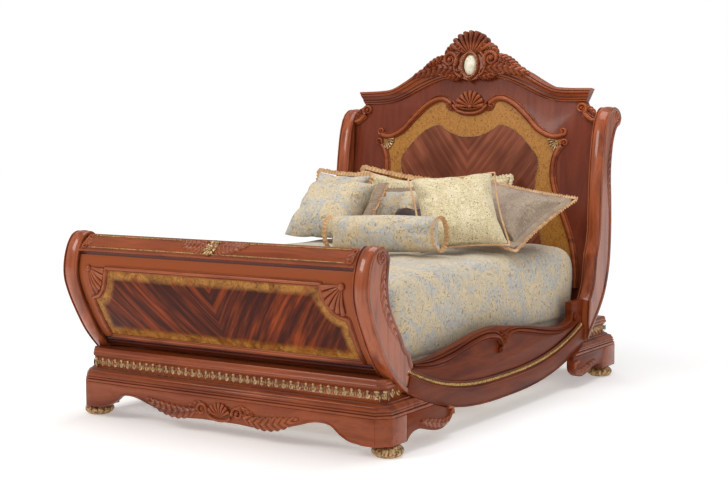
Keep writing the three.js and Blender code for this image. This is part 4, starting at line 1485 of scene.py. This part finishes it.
arch_line = [(134, 1598), (152, 1614), (184, 1628), (232, 1626), (297, 1596), (348, 1556),
             (400, 1508), (470, 1440), (549, 1402), (596, 1400), (628, 1410)]
side_line = [(622, 1346), (598, 1318), (578, 1262), (573, 1180), (592, 1090), (632, 990),
             (684, 872), (724, 760), (746, 640), (752, 520)]
burl_edge = smooth([(0, 1556), (90, 1570), (150, 1590), (232, 1622), (297, 1596), (400, 1508),
                    (470, 1440), (549, 1402), (610, 1392)], 5)
burl_side = smooth([(618, 1340), *side_line[1:]], 5)
inlay_right = [
    *smooth([(0, 1395), (60, 1400), (124, 1420), (172, 1447), (207, 1471)], 4),
    *smooth([(250, 1462), (310, 1434), (372, 1385), (424, 1330), (468, 1277)], 4),
    *smooth([(478, 1240), (466, 1180), (462, 1060), (480, 940), (516, 800), (540, 660),
             (548, 520)], 4),
]
eased_copy("headboard_panel", field_wood, 2.5, "headboard_board")
burl_outline = whole_line([*burl_edge, *burl_side])
gather("headboard_burl", [plate(on_board, burl_outline, -1, 1.2, 0.4)], burl_veneer,
       ())
inlay_outline = whole_line(inlay_right)
gather("headboard_feather_field", [plate(on_board, inlay_outline, 0, 2.2, 0.4)], field_veneer,
       ())
inlay_bead = bead_unit("inlay_bead", 5.2, 5.4, 2.4, 0.5)
row_of("headboard_inlay_rope", [(on_board, evenly(inlay_outline, 400), 2)],
       inlay_bead, 6.4, old_gilt)
print("headboard veneered")

# %% [markdown]
# Over the burl border stands the arch: two S-shaped mouldings that rise from scrolls to a
# carved shell. Two more mouldings run down the sides to the mattress.

# %% Carve the arch and its shell
arch_parts = []
arch_curve = smooth(arch_line, 6)
arch_taper = 0.72 + 0.28 * np.sin(np.linspace(0.5, 2.9, len(arch_curve)))
arch_parts += both(sweep(on_board, arch_curve, double_reed(46, 25), arch_taper))
for part in scroll(on_board, (627, 1429), 22, 1.35, -95, 1, 17, 24):
    arch_parts += both(part)
for part in scroll(on_board, (146, 1592), 16, 1.2, 130, 1, 13, 20):
    arch_parts += both(part)
arch_parts += both(leaf(on_board, [(168, 1612), (150, 1580), (128, 1562), (104, 1556)], 34, 4, 18))
smile = smooth([(-118, 1590), (-84, 1556), (-40, 1541), (0, 1538), (40, 1541), (84, 1556),
                (118, 1590)])
arch_parts.append(sweep(on_board, smile, double_reed(34, 22)))
arch_parts.append(sweep(on_board, smile + (0, 24), reed(12, 20)))
arch_parts.append(shell(on_board, (0, 1578), 92, 9, -6, 186, 26, 0.08))
arch_parts.append(boss(on_board, (0, 1578), 15, 22))
gather("headboard_arch_carved", arch_parts, carved_wood, ["headboard_arch_moulding"])

for sign, hand in ((-1, "left"), (1, "right")):
    parts = []
    curve = smooth(side_line, 6)
    taper = 0.7 + 0.3 * np.sin(np.linspace(0.4, 2.6, len(curve)))
    parts.append(sweep(on_board, curve, double_reed(42, 22), taper))
    parts += scroll(on_board, (640, 1362), 24, 1.35, 210, -1, 16, 23)
    if sign < 0:
        parts = [part.across() for part in parts]
    gather(f"headboard_side_scroll_{hand}", parts, carved_wood,
           [f"headboard_side_moulding_{hand}"])
    parts = scroll(on_board, (737, 1563), 34, 1.5, 300, 1, 22, 26)
    parts.append(sweep(on_board, smooth([(754, 1534), (782, 1510), (806, 1494),
                                         (head_stile_inner - 1, 1490)]),
                       double_reed(42, 22)))
    parts.append(leaf(on_board, [(764, 1580), (790, 1560), (812, 1540), (822, 1512)], 34, 4, 16))
    if sign < 0:
        parts = [part.across() for part in parts]
    gather(f"headboard_bracket_carved_{hand}", parts, carved_wood, [f"headboard_bracket_{hand}"])
fans = both(shell(on_board, (598, 1378), 62, 6, 168, 275, 14, 0.15))
gather("headboard_corner_fans", fans, old_gilt, ())
print("arch, side scrolls and brackets carved")

# %% [markdown]
# The cornice is a stack of stepped mouldings that sweeps up to the middle. It fills the room
# between a lower and an upper line, so its width may change on the way. The ends are cut on
# the slant and closed flat.

# %% Run the cornice
cornice_under = smooth([(0, 1762), (130, 1757), (222, 1741), (349, 1692), (470, 1636),
                        (590, 1605), (764, 1602)], 6)
cornice_over = smooth([(0, 1852), (150, 1846), (280, 1822), (390, 1782), (470, 1736),
                       (560, 1692), (640, 1682), (796, 1678)], 6)
cornice_steps = [
    (0, -33), (0, 3), (0.03, 8), (0.1, 9), (0.14, 6), (0.16, 12),
    (0.26, 16), (0.3, 13), (0.33, 12), (0.4, 14), (0.5, 19), (0.56, 24),
    (0.58, 20), (0.6, 24), (0.68, 28), (0.75, 27), (0.78, 22), (0.8, 27),
    (0.83, 29), (0.94, 29), (0.97, 26), (1, 20), (1, -33),
]
# Painted shade in the hollows of the cornice profile.
cornice_shade = [1 if k in (4, 7, 8, 12, 16) else 0 for k in range(len(cornice_steps))]
under = whole_line(evenly(cornice_under, 80))
over = whole_line(evenly(cornice_over, 80))
gather("headboard_cornice_moulded", [ruled(on_board, under, over, cornice_steps, cornice_shade)],
       mahogany_x, ["headboard_cornice"], crease=30)
print("cornice", round(length_of(over)), "mm long")

# %% [markdown]
# The crest is the carver's showpiece: a fan of palm leaves over an ivory-coloured oval, a
# scroll at each shoulder, and acanthus leaves that run out along the cornice. It is built up
# from the same ornaments, standing on a thin backing that gives it its outline.

# %% Carve the crest
def on_cornice(across, up, height):
    return on_board(across, up, height + 27)


backing = [(0, 1734), (40, 1744), (110, 1764), (180, 1768), (260, 1774), (340, 1772),
           (392, 1769), (330, 1796), (280, 1822), (222, 1852), (180, 1886), (140, 1920),
           (100, 1952), (54, 1992), (0, 2012)]
crest_parts = [plate(on_cornice, whole_line(backing)[:-1], -20, 3, 1)]
crest_parts.append(shell(on_cornice, (0, 1880), 148, 9, 20, 160, 28, 0.16, -18, 1.0))
crest_parts.append(boss(on_cornice, (0, 1908), 20, 22))
for spine, width, lobes, height in (
    ([(70, 1786), (140, 1806), (222, 1812), (300, 1796), (404, 1766)], 84, 9, 24),
    ([(186, 1888), (226, 1868), (276, 1838), (336, 1806)], 56, 6, 21),
    ([(196, 1850), (240, 1836), (292, 1816)], 46, 5, 25),
    ([(54, 1768), (96, 1756), (146, 1764), (196, 1780)], 44, 5, 22),
    ([(70, 1916), (110, 1938), (146, 1930), (182, 1898)], 52, 5, 23),
    ([(40, 1896), (74, 1926), (96, 1954), (100, 1986)], 42, 4, 25),
):
    crest_parts += both(leaf(on_cornice, spine, width, lobes, height, -18))
for part in scroll(on_cornice, (142, 1864), 54, 1.6, 230, -1, 30, 28, -18):
    crest_parts += both(part)
strap = smooth([(54, 1756), (94, 1782), (106, 1828), (96, 1872), (70, 1906)])
crest_parts += both(sweep(on_cornice, strap, double_reed(32, 25, -18)))
crest_parts.append(leaf(on_cornice, [(0, 1770), (0, 1750), (0, 1726)], 40, 3, 22, -18))
oval_turn = np.radians(np.linspace(-91, 271, 61))
oval = np.stack([54 * np.cos(oval_turn), 1829 + 76 * np.sin(oval_turn)], 1)
crest_parts.append(sweep(on_cornice, oval, reed(20, 24, -6)))
gather("crest_carved", crest_parts, carved_wood, ["crest_carving"])
cameo = boss(on_cornice, (0, 1829), 45, 25, 2, 1.5)
gather("crest_oval", [cameo], ivory, ["crest_cameo"])
row_of("crest_oval_beads", [(on_cornice, oval, 22)], pearl_bead, 12, old_gilt)
print("crest carved in", len(crest_parts), "parts")

# %% [markdown]
# ## Slats and cleats
# The slats, their centre legs and the cleats on the rails are plain sawn pine, right as they
# are in the frame, so they keep their solids and only take the pine finish.

# %% Finish the slats, legs and cleats
plain_names = [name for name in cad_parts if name.startswith(("slat", "rail_cleat"))]
for name in plain_names:
    solid = bpy.data.objects[name]
    for place in solid.material_slots:
        place.material = pine
print("pine pieces:", len(plain_names))

# %% [markdown]
# ## Cloth finishes
# The bedding is woven jacquard: a matt ground with a figure of scrolls that catches the
# light differently. A figure of curls comes from bending the coordinates with noise before
# they reach a ring pattern. The weave itself is a fine bump at about a thread's width.

# %% Weave the jacquards
def curls(cloth, size, vector, thin=0.12, warp=0.5):
    """Thin curling lines: the edges between cells of a bent cell pattern."""
    bend = cloth.node("ShaderNodeTexNoise")
    bend.inputs["Scale"].default_value = size * 0.8
    bend.inputs["Detail"].default_value = 2
    cloth.join(vector, bend.inputs["Vector"])
    shift = cloth.node("ShaderNodeVectorMath", operation="MULTIPLY_ADD")
    cloth.join(bend.outputs["Color"], shift.inputs[0])
    shift.inputs[1].default_value = (warp / size * 4,) * 3
    cloth.join(vector, shift.inputs[2])
    cells = cloth.node("ShaderNodeTexVoronoi", feature="F1")
    cells.inputs["Scale"].default_value = size
    cloth.join(shift.outputs["Vector"], cells.inputs["Vector"])
    rings = cloth.math("SINE", cloth.math("MULTIPLY", cells.outputs["Distance"], 19))
    return cloth.math("GREATER_THAN", rings, 1 - thin)


def weave_bump(cloth, vector, figure, threads=900, strength=0.25):
    weave = cloth.noise(vector, threads, 2)
    raised = cloth.math("MULTIPLY_ADD", figure, 0.7)
    cloth.join(weave, raised.node.inputs[2])
    cloth.bump(raised, strength, 0.5)


def jacquard(name, ground, second, gold, outline, size):
    cloth = Finish(name, 0.72)
    vector = cloth.place()
    patches = cloth.noise(vector, 5.2, 3, 1.2)
    base = cloth.ramp(patches, [(0.44, ground), (0.56, second)])
    large = curls(cloth, size, vector, 0.34)
    small = curls(cloth, size * 2.6, cloth.place((1, 1, 1), (20, 35, 50)), 0.3, 0.8)
    dark = curls(cloth, size * 1.55, cloth.place((1, 1, 1), (70, 10, 25)), 0.1, 0.9)
    colour = cloth.mix(cloth.math("MULTIPLY", small, 0.55), base, gold)
    colour = cloth.mix(cloth.math("MULTIPLY", large, 0.6), colour, gold)
    colour = cloth.mix(cloth.math("MULTIPLY", dark, 0.7), colour, outline)
    thread = cloth.ramp(cloth.noise(vector, 700, 2), [(0.3, (0.86,) * 3), (0.7, (1.1,) * 3)])
    cloth.colour(cloth.mix(1.0, colour, thread, "MULTIPLY"))
    weave_bump(cloth, vector, large)
    cloth.set(Sheen_Weight=0.25, Sheen_Roughness=0.4)
    return cloth.material


blue_jacquard = jacquard("blue_jacquard", linear(182, 184, 184), linear(208, 194, 168),
                         linear(224, 200, 152), linear(142, 116, 80), 9)
cream_scroll = jacquard("cream_scroll", linear(224, 208, 168), linear(214, 196, 152),
                        linear(234, 222, 188), linear(84, 62, 38), 17)
taupe_scroll = jacquard("taupe_scroll", linear(150, 128, 112), linear(164, 144, 124),
                        linear(186, 168, 146), linear(112, 92, 78), 22)


def silk(name, light, dark, roughness, sheen):
    cloth = Finish(name, roughness)
    vector = cloth.place((1, 1, 1), (30, 0, 40))
    tone = cloth.noise(vector, 14, 3, 1.0)
    slub = cloth.noise(cloth.place((40, 1, 1)), 26, 2)
    colour = cloth.mix(0.4, cloth.ramp(tone, [(0.35, dark), (0.65, light)]),
                       cloth.ramp(slub, [(0.4, dark), (0.6, light)]))
    # Painted shade: the folds of a ruffle darken where the strip marks them.
    glaze = cloth.math("MULTIPLY", cloth.attribute("glaze"), 0.6)
    cloth.colour(cloth.mix(glaze, colour, tuple(c * 0.35 for c in dark)))
    cloth.bump(slub, 0.1, 0.4)
    cloth.set(Sheen_Weight=sheen, Sheen_Roughness=0.3)
    return cloth.material


taupe_silk = silk("taupe_silk", linear(176, 152, 128), linear(138, 116, 96), 0.42, 0.4)
apricot_silk = silk("apricot_silk", linear(226, 186, 136), linear(188, 136, 88), 0.5, 0.4)
brown_satin = silk("brown_satin", linear(64, 42, 34), linear(38, 24, 20), 0.34, 0.3)
ticking = silk("ticking", linear(226, 220, 204), linear(208, 200, 182), 0.85, 0.1)
print("cloths:", 7)

# %% [markdown]
# ## Pillows
# A pillow starts as a flat case, sewn at its edge, and the stuffing swells it: fat in the
# middle, with corners that stick out like ears. Each is drawn in its own plane, run through
# a short cloth simulation that gives it real folds, and stood where its solid stands.
# Ruffles, pleated borders and tassels are sewn on after that, round the case's seam.

# %% Stuff a pillow
def stand(place, lean, turned=0, roll=0):
    """Where a pillow stands: its centre, and how far it leans back, turns and rolls."""
    x, run, lift = place
    tilt = Matrix.Rotation(math.radians(-lean), 4, "X") @ Matrix.Rotation(
        math.radians(roll), 4, "Y")
    spot = Vector((x, head(run), bed_top + lift))
    return Matrix.Translation(spot * MM) @ Matrix.Rotation(math.radians(turned), 4, "Z") @ tilt


def case_edge(width, height, count=120, pull=0.07):
    """The seam of a case: a rectangle whose sides pull in between its corners."""
    per_side = count // 4
    t = np.linspace(-1, 1, per_side, endpoint=False)
    one = np.ones_like(t)
    u = np.concatenate([t, one, -t, -one])
    v = np.concatenate([-one, t, one, -t])
    pinch = 1 - pull * (1 - (u * v) ** 2)
    return np.stack([u * width / 2 * pinch, v * height / 2 * pinch], 1)


def case_part(width, height, thick, steps=30, seed=0, dent=0.0):
    rng = np.random.default_rng(seed)
    phase = rng.uniform(0, 6, 4)
    t = np.linspace(-1, 1, steps + 1)
    t = np.sign(t) * np.abs(t) ** 0.85
    u, v = np.meshgrid(t, t)
    pinch = 1 - 0.07 * (1 - (u * v) ** 2) * np.maximum(u**2, v**2)
    swell = ((1 - u**4) * (1 - v**4)) ** 0.55
    crease = 0.05 * np.sin(7 * (u + 0.6 * v) + phase[0]) * np.sin(5 * v - 3 * u + phase[1])
    crease += 0.04 * np.sin(11 * u * v + phase[2])
    sag = 1 - dent * np.exp(-((u**2 + (v - 0.5) ** 2) / 0.2))
    half = thick / 2 * np.maximum(swell, 0) * (1 + crease) * sag
    flat_x, flat_z = u * width / 2 * pinch, v * height / 2 * pinch
    front = np.stack([flat_x, -half - 1, flat_z], 2).reshape(-1, 3)
    back = np.stack([flat_x, half + 1, flat_z], 2).reshape(-1, 3)
    return Part(np.vstack([front, back]), shell_faces(*u.shape))


def plump(made, cap):
    """Swell a closed case with a short cloth simulation, no point moving over the cap."""
    remesh = made.modifiers.new("even", "REMESH")
    remesh.mode, remesh.voxel_size = "VOXEL", 6.5 * MM
    live_result(made)
    start = np.array([v.co[:] for v in made.data.vertices])
    cloth = made.modifiers.new("stuffing", "CLOTH")
    settings = cloth.settings
    settings.use_pressure, settings.uniform_pressure_force = True, 4
    settings.effector_weights.gravity = 0
    settings.quality = 4
    settings.tension_stiffness = settings.compression_stiffness = 12
    settings.bending_stiffness = 0.4
    cloth.point_cache.frame_start, cloth.point_cache.frame_end = 1, 20
    for step in range(1, 21):
        scene.frame_set(step)
    live_result(made)
    scene.frame_set(1)
    now = np.array([v.co[:] for v in made.data.vertices])
    move = now - start
    size = np.linalg.norm(move, axis=1, keepdims=True)
    move *= np.minimum(1, cap * MM / np.maximum(size, 1e-9))
    made.data.vertices.foreach_set("co", (start + move).ravel())
    made.data.update()
    return made


def stuffed(name, size, where, finish, node, seed, dent=0.0, cap=22):
    part = case_part(*size, seed=seed, dent=dent)
    made = gather(name, [part], finish, (), crease=180)
    plump(made, cap)
    made.data.materials.clear()
    set_mesh(made.data, [finish], 180)
    fine = made.modifiers.new("fine", "SUBSURF")
    fine.levels = fine.render_levels = 1
    live_result(made)
    made.data.transform(where)
    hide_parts(node)
    return made


print("pillow helper ready")

# %% [markdown]
# A ruffle is a strip about twice as long as the edge it is sewn to, so it stands in waves.
# The waves grow from nothing at the seam to their full height at the free edge. A pleated
# border is the same strip with small, close, folded waves. Both get a cloth's thickness.

# %% Sew ruffles, pleats and tassels
def sewn_strip(name, strip, finish, where):
    """Thin cloth from one part, given a cloth's thickness and set where its case stands."""
    made = gather(name, [strip], finish, (), 180)
    wall = made.modifiers.new("cloth", "SOLIDIFY")
    wall.thickness, wall.offset = 1.4 * MM, 0
    live_result(made)
    made.data.transform(where)
    return made


def frill(name, edge, where, width, wave, swing, finish, seed):
    """A gathered strip along an edge line in the pillow's plane."""
    edge = evenly(edge, max(int(length_of(edge) / 3.2), 24))
    centre = edge.mean(0) if np.linalg.norm(edge[0] - edge[-1]) < 5 else np.zeros(2)
    out = squares(edge)
    if np.sum((edge - centre) * out) < 0:
        out = -out
    way = np.concatenate([[0], np.cumsum(np.linalg.norm(np.diff(edge, axis=0), axis=1))])
    rng = np.random.default_rng(seed)
    drift = np.interp(way, np.linspace(0, way[-1], 24), rng.uniform(-1.2, 1.2, 24))
    phase = way / wave * 2 * math.pi + drift
    rings = []
    for share in np.linspace(0, 1, 6):
        reach = width * share * (1 + 0.08 * np.sin(phase * 0.37))
        swingy = swing * share**0.8 * np.sin(phase)
        ripple = 0.16 * swing * share * np.sin(phase * 2.3 + 1)
        spot = edge + out * reach[:, None]
        rings.append(np.stack([spot[:, 0], swingy + ripple, spot[:, 1]], 1))
    # Painted shade on one side of each wave, where the fold turns away.
    glaze = np.tile(np.clip(-np.sin(phase), 0, 1) * 0.55, len(rings))
    strip = Part(np.vstack(rings), grid_faces(len(rings), len(edge)), glaze)
    return sewn_strip(name, strip, finish, where)


def seam_line(size):
    """The case's seam, all the way round."""
    line = case_edge(*size)
    return np.vstack([line, line[:1]])


def tassel_part(length=46, radius=11):
    turn = np.linspace(0, 2 * math.pi, 13)[:-1]
    profile = [(0.2, 0), (0.55, -0.06), (0.62, -0.16), (0.4, -0.27), (0.5, -0.34), (0.8, -0.6),
               (1, -0.98), (0.7, -1)]
    rings = [[(r * radius * math.cos(a) * (1 + 0.1 * (k % 2)), r * radius * math.sin(a), z * length)
              for k, a in enumerate(turn)] for r, z in profile]
    return Part(np.array(rings).reshape(-1, 3), tube_faces(len(rings), len(turn)))


print("trimming helpers ready")

# %% [markdown]
# Nine soft pieces lie against the headboard. They are set from the back of the bed to the
# front, each with its own trimming: ruffles on the rear ones, a pleated border with tassels
# on the blue sham, a pleated border with a ruffle on the taupe one.

# %% Set the back row
def row_back():
    blue = stand((-680, 560, 208), 22, -1, 3)
    stuffed("pillow_blue_back_stuffed", (392, 386, 150), blue, blue_jacquard,
            "pillow_blue_back", 1)
    frill("pillow_blue_back_ruffle", seam_line((380, 374)), blue, 26, 22, 7, apricot_silk,
          seed=11)
    cream = stand((-385, 366, 212), 27, 6, 9)
    stuffed("pillow_cream_back_stuffed", (590, 360, 130), cream, cream_scroll,
            "pillow_cream_back", 2)
    frill("pillow_cream_back_ruffle", seam_line((578, 350)), cream, 28, 24, 8, apricot_silk,
          seed=12)
    ruffled = stand((165, 330, 195), 28, 3, -6)
    stuffed("pillow_cream_ruffled_stuffed", (392, 372, 130), ruffled, cream_scroll,
            "pillow_cream_ruffled", 3)
    frill("pillow_cream_ruffled_ruffle", seam_line((382, 362)), ruffled, 24, 22, 7,
          cream_scroll, seed=13)
    middle = stand((-235, 560, 172), 30, -6, -5)
    stuffed("pillow_blue_middle_stuffed", (330, 270, 120), middle, blue_jacquard,
            "pillow_blue_middle", 4)
    frill("pillow_blue_middle_border", seam_line((322, 262)), middle, 34, 9, 2.2, taupe_silk,
          seed=14)


row_back()
print("back row set")


# %% Set the shams, the cushions and the bolster
def row_front():
    taupe = stand((530, 745, 187), 60, -3, 14)
    stuffed("pillow_taupe_sham_stuffed", (560, 420, 130), taupe, taupe_scroll,
            "pillow_taupe_sham", 5, dent=0.15)
    frill("pillow_taupe_sham_border", seam_line((548, 408)), taupe, 58, 13, 3.0, taupe_silk,
          seed=15)
    frill("pillow_taupe_sham_ruffle", seam_line((662, 522)), taupe, 22, 17, 6, apricot_silk,
          seed=16)
    sham = stand((-520, 830, 186), 45)
    stuffed("pillow_blue_sham_stuffed", (470, 440, 160), sham @ Matrix.Translation(
        (-0.03, 0, -0.01)), blue_jacquard, "pillow_blue_sham", 6)
    right = [(208, 216), (216, 120), (214, 0), (214, -120), (206, -216)]
    frill("pillow_blue_sham_border", right, sham, 62, 12, 3.2, taupe_silk, seed=17)
    frill("pillow_blue_sham_edging", [(x + 62, z) for x, z in right], sham, 13, 9, 4,
          apricot_silk, seed=18)
    tassels = []
    for share in (0.1, 0.3, 0.5, 0.72):
        at = sham @ Vector((0.282, -0.012, 0.2 - 0.4 * share))
        tassels.append(Part(tassel_part().points + np.array(at) / MM, tassel_part().faces))
    gather("pillow_blue_sham_tassels", tassels, apricot_silk, (), 60)
    brown = stand((0, 810, 112), 42)
    stuffed("pillow_brown_stuffed", (290, 220, 110), brown, brown_satin, "pillow_brown",
            7)
    cream = stand((455, 1098, 216), 44, 32, -6)
    stuffed("pillow_cream_front_stuffed", (476, 516, 150), cream, cream_scroll,
            "pillow_cream_front", 8, dent=0.12)
    frill("pillow_cream_front_cord", seam_line((470, 508)), cream, 10, 10, 2.0, apricot_silk,
          seed=19)


row_front()


def bolster_pieces():
    where = stand((205, 1445, 108), 0, -3, -2)
    size = (700, 178, 186)
    stuffed("bolster_stuffed", size, where, blue_jacquard, "bolster", 9)
    for side, hand in ((-1, "left"), (1, "right")):
        turn = np.linspace(0, 2 * math.pi, 260)
        wave = np.sin(turn * 26 + 1.2 * np.sin(turn * 3))
        rings = []
        for share in np.linspace(0, 1, 6):
            reach = 1 + 0.16 * share
            x = side * (332 + 22 * share + 6 * share * wave)
            rings.append(np.stack([x, 66 * reach * np.cos(turn), 82 * reach * np.sin(turn)], 1))
        # Painted shade on one side of each wave of the ruffle.
        glaze = np.tile(np.clip(-wave, 0, 1) * 0.5, 6)
        strip = Part(np.vstack(rings), grid_faces(6, 260), glaze)
        sewn_strip(f"bolster_ruffle_{hand}", strip, apricot_silk, where)


bolster_pieces()
print("bolster tied")

# %% [markdown]
# ## Mattress, foundation and comforter
# The foundation and mattress are hardly seen, so they get their real form, a padded block
# with rounded edges, and a plain ticking. The comforter lies over the mattress, bulges above
# the rails and is tucked in at the foot. It is drawn as a close grid round the mattress,
# with a soft swell between its quilting lines and long drag folds down the sides.

# %% Make the bedding
for node, width in (("foundation", 14), ("mattress", 18)):
    pad = eased_copy(node, ticking, width, f"{node}_padded", 4)


def rounded_line(half_x, y0, y1, radius, steps=14, along_side=40):
    """A rectangle with rounded corners, seen from above, its points close together."""
    line = []
    for cx, cy, start in ((half_x - radius, y1 - radius, 0), (radius - half_x, y1 - radius, 90),
                          (radius - half_x, y0 + radius, 180), (half_x - radius, y0 + radius, 270)):
        turn = np.radians(np.linspace(start, start + 90, steps))
        line.append(np.stack([cx + radius * np.cos(turn), cy + radius * np.sin(turn)], 1))
    line = np.vstack(line)
    line = np.vstack([line, line[:1]])
    return evenly(line, 4 * along_side + 1)[:-1]


def comforter_piece():
    low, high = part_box("comforter")
    half_x, y0, y1 = high[0] / MM, low[1] / MM, high[1] / MM
    bottom, top = low[2] / MM, high[2] / MM
    profile = [(bottom + 4, 10), (bottom + 60, 5), (bottom + 130, 0), (bottom + 210, -4),
               (top - 140, -3), (top - 96, 3), (top - 64, 14), (top - 38, 32), (top - 18, 62),
               (top - 6, 104), (top - 1, 160), (top, 230), (top, 330), (top, 470), (top, 640)]
    profile = smooth(profile, 3)
    rings = []
    for z, inset in profile:
        ring = rounded_line(half_x - inset, y0 + inset, y1 - inset, max(120 - inset * 0.12, 34))
        fall = np.clip((top - z) / (top - bottom), 0, 1)
        turn = np.arctan2(ring[:, 1] / 1.3, ring[:, 0])
        fold = np.sin(turn * 23 + 2.2 * np.sin(turn * 5)) * fall * 5
        fold += np.sin(turn * 47 + z * 0.02) * fall * 1.5
        out = ring / np.linalg.norm(ring, axis=1, keepdims=True)
        ring = ring + out * fold[:, None]
        x, y = ring[:, 0], ring[:, 1]
        swell = 5 * np.sin(x * 0.0105 + 0.5) * np.sin(y * 0.0098)
        swell += 2.5 * np.sin(x * 0.031 + y * 0.017)
        lift = swell * (1 - fall) ** 3
        rings.append(np.stack([x, y, z + lift - 5 * (1 - fall) ** 3], 1))
    count = len(rings[0])
    faces = grid_faces(len(rings), count, wrap=True)
    faces.append(tuple((len(rings) - 1) * count + k for k in range(count)))
    cover = gather("comforter_draped", [Part(np.vstack(rings), faces)], blue_jacquard, (),
                   180)
    wall = cover.modifiers.new("filling", "SOLIDIFY")
    wall.thickness, wall.offset = 16 * MM, -1
    live_result(cover)
    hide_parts("comforter")
    return cover, (2 * half_x + 2 * (top - bottom), y1 - y0 + 2 * (top - bottom))


comforter, cloth_size = comforter_piece()
print("comforter cut", [round(v) for v in cloth_size])

# %% [markdown]
# ## The studio
# The floor is a flat white sheet that reaches far past the bed on every side. It isn't part
# of the bed, so it is marked as staging.

# %% Lay the floor and finish
sheet = bpy.data.meshes.new("studio_sheet")
reach = 30.0
corners = [(-reach, -reach, 0), (reach, -reach, 0), (reach, reach, 0), (-reach, reach, 0)]
sheet.from_pydata(corners, [], [(0, 1, 2, 3)])
floor = in_scene("studio_floor", sheet)
paper = Finish("studio_paper", 0.9)
paper.set(Emission_Color=(1, 1, 1, 1))
far = paper.node("ShaderNodeVectorMath", operation="LENGTH")
paper.join(paper.place(), far.inputs[0])
glow = paper.node("ShaderNodeMapRange")
for key, value in (("From Min", 2.2), ("From Max", 7.0), ("To Min", 0.3), ("To Max", 0.66)):
    glow.inputs[key].default_value = value
paper.join(far.outputs["Value"], glow.inputs["Value"])
paper.join(glow.outputs["Result"], paper.shader.inputs["Emission Strength"])
cloudy = paper.noise(paper.place(), 3, 2)
paper.colour(paper.ramp(cloudy, [(0.3, (0.93,) * 3), (0.7, (0.95,) * 3)]))
sheet.materials.append(paper.material)
floor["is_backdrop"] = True

shown_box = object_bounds()
as_lists = {
    "frame": [[float(v) for v in corner_] for corner_ in frame_box],
    "visual": [[float(v) for v in corner_] for corner_ in shown_box],
}
print("frame box", as_lists["frame"], "shown box", as_lists["visual"])
